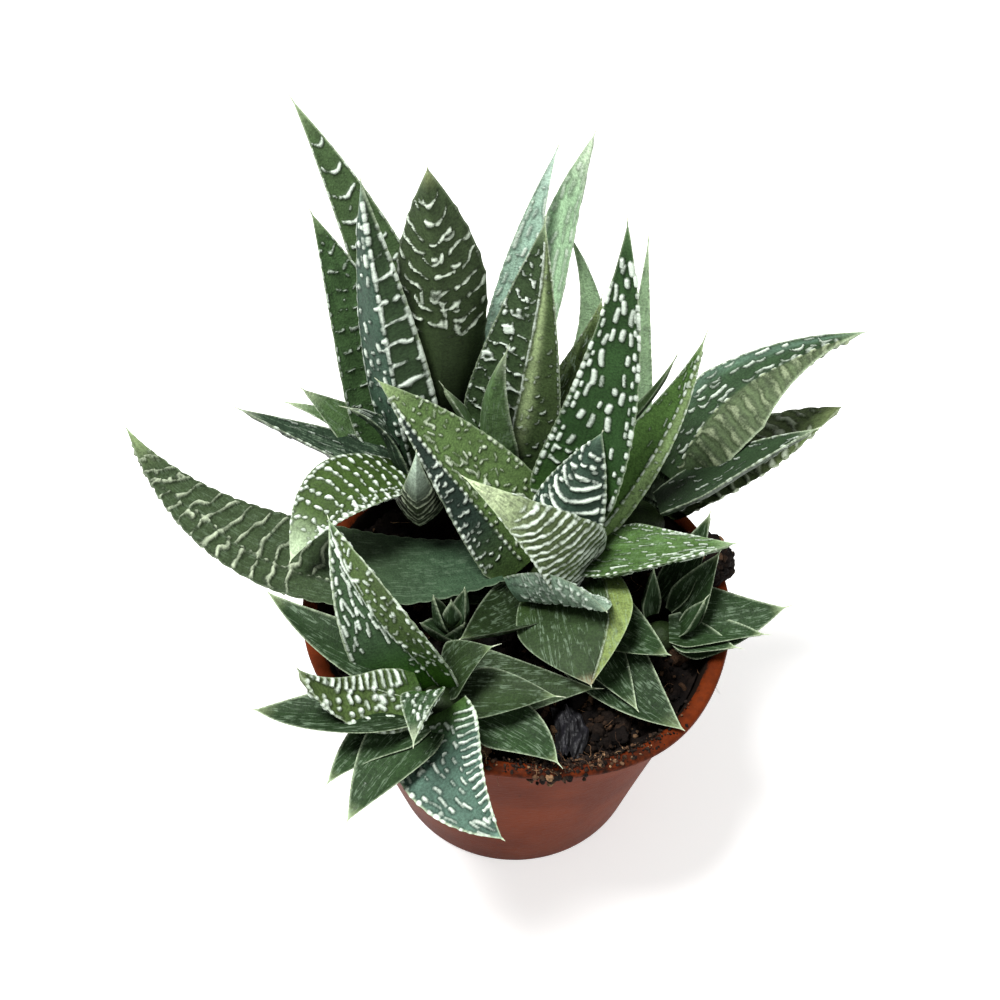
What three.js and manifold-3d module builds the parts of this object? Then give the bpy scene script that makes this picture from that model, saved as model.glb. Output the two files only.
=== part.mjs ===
import * as THREE from 'three';
import { mergeVertices } from 'three/addons/utils/BufferGeometryUtils.js';
import Module from 'manifold-3d';

const wasm = await Module();
wasm.setup();

// Pot sizes in millimetres
const POT_HEIGHT = 61.5;
const RIM_RADIUS = 45;
const BASE_RADIUS = 29.5;
const WALL = 1.2;
const LIP_REACH = 2.4;
const LIP_THICKNESS = 1.4;
const POT_SIDES = 44;
const RIM_DENT = 1.5;
const RIM_BULGE = 2;
const DENT_ANGLE = THREE.MathUtils.degToRad(-97);
const BULGE_ANGLE = THREE.MathUtils.degToRad(-52);
const SQUEEZE_SPREAD = THREE.MathUtils.degToRad(22);
const DRAIN_HOLES = 6;
const DRAIN_RADIUS = 2.8;
const DRAIN_CIRCLE = 21;

// Potting soil
const GAP = 0.3;
const SOIL_LEVEL = 55;
const SOIL_BANK = 2.5;
const SOIL_LUMP = 0.5;
const SOIL_RINGS = 11;
const SOIL_SIDES = 40;
const CLOD = { centre: [39.5, 7, 62.5], radii: [8, 7, 8] };

// How a leaf is divided, and its raised cross bands
const RING_SPACING = 4.2;
const FEWEST_RINGS = 5;
const MOST_RINGS = 20;
const RIDGE_HEIGHT = 0.5;
const EDGE_TOOTH = 0.35;
const LEAF_FOOT = 0.75;
const FOOT_DROP = 4.5;
const FINEST_EDGE = 0.04;
const STEM_SIDES = 10;
const STEM_DEPTH = 9;

// Each rosette has a heart on a short stem, and leaves with a root, measured from the heart,
// and a tip, measured from the middle of the pot's base. bow lifts a leaf's middle towards its
// upper face and sway shifts it sideways, in millimetres. roll turns the blade about its own
// length, in degrees. crest says how far along the bend lies, cup hollows the upper face, keel
// moves the ridge of the lower face to one side, and taper draws the tip out.
const ROSETTES = [
  {
    name: 'mother_rosette',
    heart: [9, 4, 66],
    stem: 5,
    core: 7,
    colour: 0x44703a,
    leaves: [
      { tip: [19, 20, 138], root: [-2, 6, 2], width: 18.5, bow: -2, sway: 3.5, roll: -4,
        widest: 0.2, point: 1.4, heel: 0.7 },
      { tip: [36, 21, 112], root: [1, 7, 3], width: 16, thick: 5, bow: -4, sway: 3, roll: 25,
        widest: 0.1, point: 1.2, keel: -0.3 },
      { tip: [-27.6, 20.5, 102], root: [-5, 2, 0], width: 23, thick: 6, bow: 1, sway: 1.5,
        roll: -26, widest: 0.1, point: 1.6, keel: 0.2 },
      { tip: [17, 14, 94], root: [-2, 1, 1], width: 16, thick: 5, roll: 182, widest: 0.35,
        point: 1.5 },
      { tip: [-10, -3, 98], root: [6, -3, 0], width: 17, thick: 6, bow: 8, roll: -75, crest: 0.45 },
      { tip: [42.7, -4, 81], root: [6, 1, 3], width: 18, bow: 2, sway: 3, roll: -15 },
      { tip: [17, -17, 76], root: [-8, -6, 0], width: 15, bow: 3, roll: -20, widest: 0.4, point: 2, crest: 0.75 },
      { tip: [-11, -19, 70], root: [-4, -5, -3], width: 14, cup: 0.4 },
      { tip: [14, -27, 66], root: [2, -6, -1], width: 24, thick: 5, bow: 3, roll: 12, widest: 0.4,
        point: 1.8, heel: 0.9, keel: 0.3 },
      { tip: [29, -22, 69], root: [4, -6, -4], width: 14, bow: -2, roll: 12, point: 1.4 },
      { tip: [31, -35, 63], root: [3, -8, -6], width: 17, thick: 3, sway: 2, roll: 14, widest: 0.3,
        point: 1.6 },
      { tip: [23, -30, 62], root: [2, -7, -6], width: 14, thick: 3 },
      { tip: [-84, 28, 83], root: [-14, 2, -1], width: 24, thick: 6, bow: -4, sway: -15, roll: 8,
        widest: 0.4, point: 1.6, heel: 0.6, cup: 0, taper: 0.3 },
      { tip: [-34, -1, 63], root: [-8, 0, -5], width: 12, thick: 3 },
    ],
  },
  {
    name: 'back_left_rosette',
    heart: [-19.5, 26, 74],
    stem: 4,
    core: 6.5,
    colour: 0x3a6636,
    leaves: [
      { tip: [-46, 67, 138], root: [3.5, 8, 1], width: 16, sway: 3, roll: -3, point: 1.5 },
      { tip: [-30, 41, 134], root: [-1.5, 1, 0], width: 15, thick: 5, sway: 1, roll: 128,
        point: 1.75, keel: -0.2 },
      { tip: [-42, 50, 122], root: [-5.5, 4, 0], width: 19, sway: 1.5, roll: -13, widest: 0.2,
        point: 1.45 },
      { tip: [-17, 39, 138], root: [3.5, 6, 3], width: 18.5, thick: 6, bow: 3, sway: -1, roll: 188,
        widest: 0.6, point: 1.6, heel: 0.45 },
      { tip: [-56, 19, 96], root: [-5.5, 0, -1], width: 10.5, roll: -3, point: 1.2 },
      { tip: [-45, 30, 92], root: [-6.5, 3, -2], width: 14, roll: -14, point: 1.2 },
      { tip: [-50, 33, 86], root: [-5.5, 3, -5], width: 9, thick: 3, bow: 2, sway: 1.5,
        point: 1.2 },
      { tip: [-35, 24, 92], root: [-3.5, -3, 1], width: 9, thick: 3, bow: 3, sway: 1 },
      { tip: [-45, -5, 77], root: [-1.5, -4, 0], width: 16, thick: 5, bow: 8, sway: 3, roll: -10,
        widest: 0.4, point: 1.8, crest: 0.6 },
      { tip: [-20, 10.5, 92], root: [-0.5, -5.5, -3], width: 11, thick: 5, bow: -5 },
      { tip: [-32, 62, 76], root: [-3, 5, -6], width: 14, bow: 4 },
      { tip: [-14, 64, 78], root: [2, 5, -6], width: 15, bow: 4 },
    ],
  },
  {
    name: 'back_rosette',
    heart: [2, 29, 72],
    stem: 4,
    core: 6.5,
    colour: 0x4c7a44,
    leaves: [
      { tip: [8, 54, 134], root: [-4, 4, 0], width: 13.5, sway: -3.5, roll: 4, point: 1.15 },
      { tip: [15, 52, 138], root: [-1, 4, 1], width: 13, sway: -4.5, roll: -28, widest: 0.5,
        point: 1.7, heel: 0.8 },
      { tip: [5, 30, 132], root: [-5, -5, 2], width: 22, thick: 5, roll: 175, point: 1.3,
        keel: -0.4 },
      { tip: [11, 48, 118], root: [3, 4, 0], width: 11, bow: -2, sway: 8 },
      { tip: [17, 34, 112], root: [3, 2, 0], width: 17, bow: 2, sway: 3, roll: 40 },
      { tip: [-2, 25, 106], root: [-4, -4, 2], width: 10, bow: -1, sway: 2, roll: 8, point: 1.2 },
      { tip: [33, 31, 100], root: [4, 0, 0], width: 7, thick: 3, bow: -2, sway: 4, point: 1.1 },
      { tip: [-15, 27, 95], root: [-2, -4, -1], width: 12, thick: 3, sway: 0.5, roll: -5, point: 1.4 },
      { tip: [-12.5, 37, 88], root: [-2, -2, -1], width: 11, sway: 2 },
      { tip: [1, 66, 76], root: [-1, 4, -6], width: 14, bow: 4 },
      { tip: [20, 62, 76], root: [3, 3, -5], width: 14, bow: 4 },
    ],
  },
  {
    name: 'right_rosette',
    heart: [27, 18, 68],
    stem: 4,
    core: 6,
    colour: 0x40693a,
    leaves: [
      { tip: [26.5, 43, 120], root: [-2, 5, 2], width: 7, thick: 3, widest: 0.4, point: 1 },
      { tip: [75, 42, 98], root: [8, 5, 4], width: 23, thick: 7, bow: 6.5, sway: -3, roll: -6,
        widest: 0.4, point: 0.9, cup: 0 },
      { tip: [72, 36, 82], root: [6, 3, -1], width: 22, thick: 6, sway: -3, roll: -18, widest: 0.4,
        point: 2, cup: 0 },
      { tip: [59.5, 14.5, 94.5], root: [3, -3, 5], width: 15, sway: -2, roll: -5, widest: 0.3, heel: 0.7 },
      { tip: [40, 50, 76], root: [3, 5, -4], width: 13, bow: 4 },
      { tip: [54, 48, 74], root: [5, 4, -2], width: 12, bow: 3 },
    ],
  },
  {
    name: 'front_left_rosette',
    heart: [-14.5, -29, 65],
    stem: 4,
    core: 6,
    colour: 0x4b7d46,
    leaves: [
      { tip: [-35, -10, 94], root: [-3.5, 1, -2], width: 18.5, thick: 5, bow: 6, sway: 2,
        roll: -62, widest: 0.2, point: 1.7, heel: 0.85, keel: 0.2 },
      { tip: [-39, -35, 82], root: [-3.5, 0, 2], width: 12.5, thick: 5, bow: -3, sway: -3,
        roll: -17, point: 1.4 },
      { tip: [-3, -60, 68], root: [-1.5, -4, 2], width: 18, bow: 2, sway: 3, roll: 35, widest: 0.2,
        point: 1.7, heel: 0.8 },
      { tip: [-49, -34, 68], root: [-5.5, -1, 0], width: 13, bow: 4, sway: -5, roll: 10,
        widest: 0.35, point: 1.6 },
      { tip: [-34, -48.5, 66.5], root: [-3.5, -4, 0.5], width: 12, thick: 3, sway: 2 },
      { tip: [-30, -55, 65], root: [-3.5, -5, 0], width: 14, thick: 3, bow: 2, roll: 8,
        point: 1.5 },
      { tip: [-48, -14, 78], root: [-3.5, 4, 1], width: 12, bow: 2, sway: -3, roll: 4, point: 1.5 },
      { tip: [-18, -49, 80], root: [-2.5, -1, 4], width: 8, thick: 3, bow: 2.5, roll: 20,
        point: 1.4 },
      { tip: [-5, -24, 74], root: [0.5, 4, 0], width: 12, thick: 3, bow: 2, roll: -16, point: 1.4 },
      { tip: [7, -31, 68], root: [3.5, 1, 0], width: 12, bow: 0.5, roll: -6 },
      { tip: [7, -44, 66], root: [5.5, -2, -1], width: 12, bow: -1.5, sway: -2, widest: 0.3,
        point: 1.4 },
      { tip: [15, -25, 62], root: [2.5, 4, -3], width: 15, thick: 3, bow: 1, roll: 10, point: 1 },
    ],
  },
  {
    name: 'right_pup',
    heart: [30, -10, 62],
    stem: 2.5,
    core: 3.5,
    colour: 0x4a7a40,
    leaves: [
      { tip: [53, -12, 71], root: [3, 1, 1], width: 16, sway: 1, roll: 16, widest: 0.2 },
      { tip: [48, -17.5, 69.5], root: [1, -1, 1], width: 10, thick: 2.5, bow: -1.2, sway: -1.5,
        widest: 0.2 },
      { tip: [43, -18, 66], root: [3, -2, 0.5], width: 9, thick: 2.5 },
      { tip: [38.4, 2.4, 82.5], root: [0.5, 7, 0], width: 10, thick: 3, bow: -1, roll: -33,
        point: 1.4 },
      { tip: [40, -4, 78], root: [3, 2, 0], width: 10, thick: 3 },
      { tip: [37, -11, 72], root: [3, -1, 1], width: 6, thick: 2.5 },
      { tip: [28, -2, 71], root: [-2, 3, 0], width: 6, thick: 2.5, roll: 30 },
    ],
  },
  {
    name: 'tiny_pup',
    heart: [-13, -10, 64.5],
    stem: 1.6,
    core: 1.6,
    colour: 0x2f5a38,
    leaves: [
      { tip: [-10.5, -8.5, 72.5], root: [0.5, -0.2, -1.5], width: 6, thick: 2.5 },
      { tip: [-16.5, -10, 72], root: [-0.5, -0.2, -1.5], width: 6, thick: 2.5 },
      { tip: [-19, -14, 68.5], root: [-0.5, -0.5, -3], width: 7, thick: 2.5 },
      { tip: [-10.5, -14, 68.5], root: [0.5, -0.5, -3], width: 6, thick: 2.5 },
      { tip: [-13, -12, 73], root: [0, -1, 1], width: 4, thick: 2 },
    ],
  },
];
const PLAIN_LEAF = {
  thick: 4, bow: 0, sway: 0, crest: 0.5, roll: 0, widest: 0.25, point: 1.3, heel: 0.75, cup: 0.12,
  keel: 0, taper: 0,
};

// One dead leaf lies on the soil near the front of the pot
const WITHERED = { root: [9, -26], tip: [10, -37.5], width: 6.5, thick: 1.6 };

// Solids from closed triangle meshes
function solidFrom(positions, triangles) {
  const mesh = new wasm.Mesh({
    numProp: 3,
    vertProperties: Float32Array.from(positions),
    triVerts: Uint32Array.from(triangles),
  });
  return new wasm.Manifold(mesh);
}

function solidFromGeometry(geometry) {
  geometry.deleteAttribute('normal');
  geometry.deleteAttribute('uv');
  const merged = mergeVertices(geometry, 1e-4);
  return solidFrom(merged.attributes.position.array, merged.index.array);
}

function geometryFrom(solid) {
  const mesh = solid.getMesh();
  const geometry = new THREE.BufferGeometry();
  geometry.setAttribute('position', new THREE.BufferAttribute(mesh.vertProperties, 3));
  geometry.setIndex(new THREE.BufferAttribute(mesh.triVerts, 1));
  geometry.computeVertexNormals();
  return geometry;
}

function vector(values) {
  return new THREE.Vector3(...values);
}

// A leaf's middle line is a parabola from root to tip, and its blade faces the rosette's axis
function leafFrame(heart, leaf) {
  const root = vector(heart).add(vector(leaf.root));
  const tip = vector(leaf.tip);
  const chord = tip.clone().sub(root).normalize();
  const middle = root.clone().add(tip).multiplyScalar(0.5);
  const inward = vector(heart).sub(middle).setZ(0).normalize();
  const facing = inward.setZ(1);
  const normal = facing.addScaledVector(chord, -facing.dot(chord)).normalize();
  normal.applyAxisAngle(chord, THREE.MathUtils.degToRad(leaf.roll));
  const side = chord.clone().cross(normal);
  const control = root.clone().lerp(tip, leaf.crest);
  control.addScaledVector(normal, 2 * leaf.bow).addScaledVector(side, 2 * leaf.sway);
  return { curve: new THREE.QuadraticBezierCurve3(root, control, tip), side };
}

// Half the blade's width at s, 0 at the root and 1 at the tip
function halfWidth(leaf, s) {
  const swell = Math.sin(Math.PI / 2 * Math.min(s / leaf.widest, 1));
  const x = Math.max(0, (s - leaf.widest) / (1 - leaf.widest));
  const shape = leaf.heel + (1 - leaf.heel) * swell;
  return leaf.width / 2 * shape * (1 - x ** leaf.point) * (1 - leaf.taper * x * x);
}

// Corner points of a leaf's section: the first three lie on the upper face, the rest below
const SECTION = [-1, 0, 1, 0.5, 0, -0.5];
const UPPER_POINTS = 3;

function leafSolid(heart, row) {
  const leaf = { ...PLAIN_LEAF, ...row };
  const { curve, side } = leafFrame(heart, leaf);
  const wanted = Math.round(curve.getLength() / RING_SPACING) + 1;
  const rings = THREE.MathUtils.clamp(wanted, FEWEST_RINGS, MOST_RINGS);
  const positions = [];
  for (let i = 0; i < rings; i++) {
    const s = i / rings;
    const centre = curve.getPoint(s);
    const along = curve.getTangent(s);
    const across = side.clone().addScaledVector(along, -side.dot(along)).normalize();
    const normal = across.clone().cross(along);
    const half = halfWidth(leaf, s);
    const thick = leaf.thick * (0.25 + 0.75 * half / (leaf.width / 2)) * (1 - 0.15 * s);
    const raised = i % 2 === 1 && i > 1 ? Math.min(1, half / 4) : 0;
    SECTION.forEach((q, k) => {
      let depth = -leaf.cup * half * (1 - q * q);
      if (k >= UPPER_POINTS) {
        const ridge = leaf.keel * (1 - Math.abs(q));
        const tent = 1 - Math.abs(q);
        depth -= thick * (0.45 * (1 - Math.abs(q) ** 2.2) + 0.55 * tent) + RIDGE_HEIGHT * raised;
        q += ridge;
      }
      const edge = Math.abs(q) === 1 ? EDGE_TOOTH * raised * q : 0;
      const point = centre.clone().addScaledVector(across, q * half + edge);
      point.addScaledVector(normal, depth);
      positions.push(...point.toArray());
    });
  }
  const foot = curve.getPoint(0).lerp(vector(heart).setZ(heart[2] - FOOT_DROP), LEAF_FOOT);
  positions.push(...leaf.tip, ...foot.toArray());
  const n = SECTION.length;
  const tip = rings * n;
  const triangles = [];
  for (let k = 0; k < n; k++) {
    const next = (k + 1) % n;
    for (let i = 0; i < rings - 1; i++) {
      const a = i * n + k;
      const b = i * n + next;
      triangles.push(a, b, b + n, a, b + n, a + n);
    }
    triangles.push(tip - n + k, tip - n + next, tip, k, tip + 1, next);
  }
  return solidFrom(positions, triangles);
}

// A lathe about +Z from pairs of radius and height
function lathe(profile, sides) {
  const points = profile.map(([radius, height]) => new THREE.Vector2(radius, height));
  return new THREE.LatheGeometry(points, sides).rotateX(Math.PI / 2);
}

// The rosette's stem goes down into the soil and swells where the leaves sit on it
function stemSolid({ heart, stem, core }) {
  const [x, y, z] = heart;
  const foot = SOIL_LEVEL - STEM_DEPTH;
  const neck = SOIL_LEVEL + 2.5;
  const shoulder = Math.min(neck + 3, z - core);
  const profile = [[0, foot], [stem * 0.8, foot], [stem, foot + 3], [stem, neck], [core, shoulder],
    [core, z - core * 0.6], [core * 0.6, z - core * 0.1], [0, z]];
  return solidFromGeometry(lathe(profile, STEM_SIDES).translate(x, y, 0));
}

// Leaves and stem grow together, and any pocket closed in between the leaf bases is filled
function rosetteSolid(rosette) {
  const leaves = rosette.leaves.map((row) => leafSolid(rosette.heart, row));
  const grown = leaves.reduce((sum, leaf) => sum.add(leaf), stemSolid(rosette));
  const pieces = grown.asOriginal().simplify(FINEST_EDGE).decompose();
  return pieces.reduce((most, piece) => (piece.volume() > most.volume() ? piece : most));
}

// The soft pot is pressed in a little at the front and bulges beside that
function squeeze(angle, z) {
  const near = (centre) => {
    const turn = Math.atan2(Math.sin(angle - centre), Math.cos(angle - centre));
    return Math.exp(-((turn / SQUEEZE_SPREAD) ** 2));
  };
  const reach = (z / POT_HEIGHT) ** 2;
  return reach * (RIM_BULGE * near(BULGE_ANGLE) - RIM_DENT * near(DENT_ANGLE));
}

function squeezed(geometry) {
  const position = geometry.attributes.position;
  const point = new THREE.Vector3();
  for (let i = 0; i < position.count; i++) {
    point.fromBufferAttribute(position, i);
    const radius = Math.hypot(point.x, point.y);
    const angle = Math.atan2(point.y, point.x);
    const grown = radius + squeeze(angle, point.z) * radius / RIM_RADIUS;
    position.setXY(i, grown * Math.cos(angle), grown * Math.sin(angle));
  }
  return geometry;
}

const WALL_TOP = RIM_RADIUS - LIP_REACH;
function wallRadius(z) {
  return BASE_RADIUS + (WALL_TOP - BASE_RADIUS) * z / (POT_HEIGHT - LIP_THICKNESS);
}

function potSolid() {
  const under = POT_HEIGHT - LIP_THICKNESS;
  const profile = [
    [0, 0], [BASE_RADIUS - 0.8, 0], [wallRadius(0.8), 0.8], [wallRadius(32), 32],
    [wallRadius(under - 1), under - 1], [RIM_RADIUS - 0.6, under - 0.4], [RIM_RADIUS, under + 0.3],
    [RIM_RADIUS - 0.3, POT_HEIGHT], [WALL_TOP, POT_HEIGHT], [wallRadius(under) - WALL, POT_HEIGHT - 1.4],
    [wallRadius(30) - WALL, 30], [wallRadius(WALL) - WALL, WALL], [0, WALL],
  ];
  let pot = solidFromGeometry(squeezed(lathe(profile, POT_SIDES)));
  for (let i = 0; i < DRAIN_HOLES; i++) {
    const angle = 2 * Math.PI * (i + 0.5) / DRAIN_HOLES;
    const hole = lathe([[0, -1], [DRAIN_RADIUS, -1], [DRAIN_RADIUS, WALL + 1], [0, WALL + 1]], 12);
    hole.translate(DRAIN_CIRCLE * Math.cos(angle), DRAIN_CIRCLE * Math.sin(angle), 0);
    pot = pot.subtract(solidFromGeometry(hole));
  }
  return pot;
}

// Height of the soil: lumpy, and banked up against the wall
function soilTop(x, y) {
  const bank = SOIL_BANK * (Math.hypot(x, y) / WALL_TOP) ** 6;
  const lump = SOIL_LUMP * (Math.sin(0.71 * x + 1.3) * Math.cos(0.63 * y) + Math.sin(1.7 * x - 1.1 * y));
  return SOIL_LEVEL + bank + lump;
}

// A clod of soil at the right stands higher than the rim and leans out over it
function clodSolid() {
  const ball = new THREE.IcosahedronGeometry(1, 2);
  const position = ball.attributes.position;
  const point = new THREE.Vector3();
  for (let i = 0; i < position.count; i++) {
    point.fromBufferAttribute(position, i);
    const bump = 0.12 * Math.sin(5 * point.x + 1) * Math.sin(4 * point.y + 2) + 0.08 * Math.sin(7 * point.z);
    point.multiply(vector(CLOD.radii)).multiplyScalar(1 + bump).add(vector(CLOD.centre));
    position.setXYZ(i, point.x, point.y, point.z);
  }
  const inner = wallRadius(SOIL_LEVEL) - WALL - GAP;
  const outer = 2 * RIM_RADIUS;
  const over = POT_HEIGHT + GAP;
  const collar = lathe([[inner, 40], [outer, 40], [outer, over], [inner, over], [inner, 40]], POT_SIDES);
  return solidFromGeometry(ball).subtract(solidFromGeometry(collar));
}

function soilSolid() {
  const inside = (z) => wallRadius(z) - WALL - GAP;
  const levels = [inside(SOIL_LEVEL + 2), inside(25), inside(WALL + GAP)];
  const heights = [0, 25, WALL + GAP];
  const positions = [];
  const rows = SOIL_RINGS + levels.length - 1;
  for (let i = 1; i <= rows; i++) {
    for (let k = 0; k < SOIL_SIDES; k++) {
      const angle = 2 * Math.PI * k / SOIL_SIDES;
      const below = Math.max(0, i - SOIL_RINGS);
      const radius = levels[below] * Math.min(1, i / SOIL_RINGS);
      const x = radius * Math.cos(angle);
      const y = radius * Math.sin(angle);
      const z = below ? heights[below] : soilTop(x, y);
      const grown = 1 + squeeze(angle, z) / RIM_RADIUS;
      positions.push(x * grown, y * grown, z);
    }
  }
  const top = rows * SOIL_SIDES;
  positions.push(0, 0, soilTop(0, 0), 0, 0, WALL + GAP);
  const triangles = [];
  for (let k = 0; k < SOIL_SIDES; k++) {
    const next = (k + 1) % SOIL_SIDES;
    triangles.push(top, k, next, top + 1, top - SOIL_SIDES + next, top - SOIL_SIDES + k);
    for (let i = 0; i < rows - 1; i++) {
      const a = i * SOIL_SIDES + k;
      const b = i * SOIL_SIDES + next;
      triangles.push(a, a + SOIL_SIDES, b + SOIL_SIDES, a, b + SOIL_SIDES, b);
    }
  }
  let soil = solidFrom(positions, triangles).add(clodSolid());
  for (const { heart, stem } of ROSETTES) {
    const foot = SOIL_LEVEL - STEM_DEPTH - GAP;
    const mouth = SOIL_LEVEL + 12;
    const hole = lathe([[0, foot], [stem + GAP, foot], [stem + GAP, mouth], [0, mouth]], 16);
    soil = soil.subtract(solidFromGeometry(hole.translate(heart[0], heart[1], 0)));
  }
  return soil;
}

// The dead leaf follows the soil beneath it
function witheredSolid() {
  const rings = 9;
  const section = [[-1, 0.2], [-0.4, 1], [0.3, 0.7], [1, 0.3], [0.4, 0], [-0.4, 0]];
  const positions = [];
  for (let i = 0; i < rings; i++) {
    const s = i / (rings - 1);
    const half = WITHERED.width / 2 * (0.35 + 0.65 * Math.sin(Math.PI * (0.15 + 0.8 * s)));
    const x = THREE.MathUtils.lerp(WITHERED.root[0], WITHERED.tip[0], s) + 1.2 * Math.sin(4 * s);
    const y = THREE.MathUtils.lerp(WITHERED.root[1], WITHERED.tip[1], s);
    for (const [across, up] of section) {
      const px = x + across * half;
      const ground = Math.max(soilTop(px, y), soilTop(px, y - 1), soilTop(px, y + 1));
      positions.push(px, y, ground + 2.5 * GAP + up * WITHERED.thick);
    }
  }
  const n = section.length;
  const triangles = [];
  for (let k = 0; k < n; k++) {
    const next = (k + 1) % n;
    for (let i = 0; i < rings - 1; i++) {
      const a = i * n + k;
      const b = i * n + next;
      triangles.push(a, b + n, b, a, a + n, b + n);
    }
  }
  for (let k = 1; k < n - 1; k++) {
    const last = (rings - 1) * n;
    triangles.push(0, k, k + 1, last, last + k + 1, last + k);
  }
  return solidFrom(positions, triangles);
}

function named(name, solid, colour, roughness) {
  const material = new THREE.MeshStandardMaterial({ color: colour, roughness, metalness: 0 });
  const mesh = new THREE.Mesh(geometryFrom(solid), material);
  mesh.name = name;
  return mesh;
}

const group = new THREE.Group();
group.add(named('pot', potSolid(), 0x8a4a34, 0.6));
group.add(named('soil', soilSolid(), 0x2e231c, 0.95));
group.add(named('withered_leaf', witheredSolid(), 0x251f2c, 0.7));
for (const rosette of ROSETTES) {
  group.add(named(rosette.name, rosetteSolid(rosette), rosette.colour, 0.55));
}

export default group;
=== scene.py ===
import math
import bpy
import numpy as np
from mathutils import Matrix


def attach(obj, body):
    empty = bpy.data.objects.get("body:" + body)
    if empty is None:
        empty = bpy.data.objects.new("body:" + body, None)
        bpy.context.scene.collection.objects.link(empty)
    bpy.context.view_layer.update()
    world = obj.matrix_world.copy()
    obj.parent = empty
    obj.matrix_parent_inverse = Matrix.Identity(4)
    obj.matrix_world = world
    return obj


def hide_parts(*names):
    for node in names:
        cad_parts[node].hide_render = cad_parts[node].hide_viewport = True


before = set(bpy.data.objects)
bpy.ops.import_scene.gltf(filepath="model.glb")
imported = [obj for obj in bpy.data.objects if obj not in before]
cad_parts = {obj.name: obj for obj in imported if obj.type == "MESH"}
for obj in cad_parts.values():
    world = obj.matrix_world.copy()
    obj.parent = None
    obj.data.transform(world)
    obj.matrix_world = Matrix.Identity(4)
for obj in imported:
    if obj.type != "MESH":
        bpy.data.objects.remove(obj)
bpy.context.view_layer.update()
mm = 0.001


def paint(code):  # a colour picked as on a screen, turned into light values
    channels = np.array([(code >> 16) & 255, (code >> 8) & 255, code & 255]) / 255
    return np.where(channels < 0.04045, channels / 12.92, ((channels + 0.055) / 1.055) ** 2.4)


def soft(value, low=0.0, high=1.0):
    t = np.clip((value - low) / (high - low), 0, 1)
    return t * t * (3 - 2 * t)


def unit(vectors):
    return vectors / np.maximum(np.linalg.norm(vectors, axis=-1, keepdims=True), 1e-12)


def waves(x, y, rng, scale, count=7):  # a smooth random relief between about -1 and 1
    total = np.zeros(np.broadcast(x, y).shape)
    for _ in range(count):
        angle, phase = rng.uniform(0, 2 * math.pi, 2)
        pitch = scale * rng.uniform(0.6, 1.7)
        total += np.sin((x * math.cos(angle) + y * math.sin(angle)) * 2 * math.pi / pitch + phase)
    return total / count * 1.6


class Bench:  # one material's workbench
    def __init__(self, name):
        self.material = bpy.data.materials.new(name)
        self.material.use_nodes = True
        self.tree = self.material.node_tree
        self.skin = self.tree.nodes["Principled BSDF"]

    def node(self, kind, settings=None, sockets=None, out=0):
        made = self.tree.nodes.new(kind)
        for key, value in (settings or {}).items():
            setattr(made, key, value)
        for key, value in (sockets or {}).items():
            if isinstance(value, Wire):
                self.tree.links.new(value.socket, made.inputs[key])
            else:
                made.inputs[key].default_value = value
        return Wire(self, made.outputs[out])

    def held(self, name, out=2):  # what the mesh carries: 0 colour, 1 vector, 2 value
        return self.node("ShaderNodeAttribute", {"attribute_name": name}, out=out)

    def noise(self, vector, scale, detail=2.0, roughness=0.5):
        return self.node("ShaderNodeTexNoise", {}, {"Vector": vector, "Scale": scale, "Detail": detail,
                                                    "Roughness": roughness})

    def stretched(self, vector, factors):
        return self.node("ShaderNodeVectorMath", {"operation": "MULTIPLY"}, {0: vector, 1: factors})

    def between(self, value, low, high):  # 0 below low, 1 above high, smooth in between
        return self.node("ShaderNodeMapRange", {"interpolation_type": "SMOOTHSTEP"},
                         {"Value": value, "From Min": low, "From Max": high})

    def blend(self, first, second, factor, how="MIX"):
        flat = lambda c: c if isinstance(c, Wire) else (*c, 1)
        return self.node("ShaderNodeMix", {"data_type": "RGBA", "blend_type": how},
                         {0: factor, 6: flat(first), 7: flat(second)}, out=2)

    def lit(self, colour, level):  # the colour, lighter or darker by the level
        grey = self.node("ShaderNodeCombineColor", {}, {0: level, 1: level, 2: level})
        return self.blend(colour, grey, 1.0, "MULTIPLY")

    def bumped(self, height, strength, distance):
        return self.node("ShaderNodeBump", {},
                         {"Height": height, "Strength": strength, "Distance": distance})

    def finish(self, **sockets):
        for key, value in sockets.items():
            target = self.skin.inputs[key.replace("_", " ")]
            if isinstance(value, Wire):
                self.tree.links.new(value.socket, target)
            else:
                target.default_value = value
        return self.material


class Wire:  # a socket that can be added, multiplied and so on
    def __init__(self, bench, socket):
        self.bench, self.socket = bench, socket

    def sum(self, operation, first, second):
        return self.bench.node("ShaderNodeMath", {"operation": operation}, {0: first, 1: second})

    def __add__(self, other):
        return self.sum("ADD", self, other)

    def __sub__(self, other):
        return self.sum("SUBTRACT", self, other)

    def __rsub__(self, other):
        return self.sum("SUBTRACT", other, self)

    def __mul__(self, other):
        return self.sum("MULTIPLY", self, other)

    __rmul__ = __mul__


def patch(points, faces, **held):  # points in millimetres, their faces and what each point carries
    points = points.reshape(-1, 3)
    return {"points": points, "faces": faces, "held": {"place": points, **held}}


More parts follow.
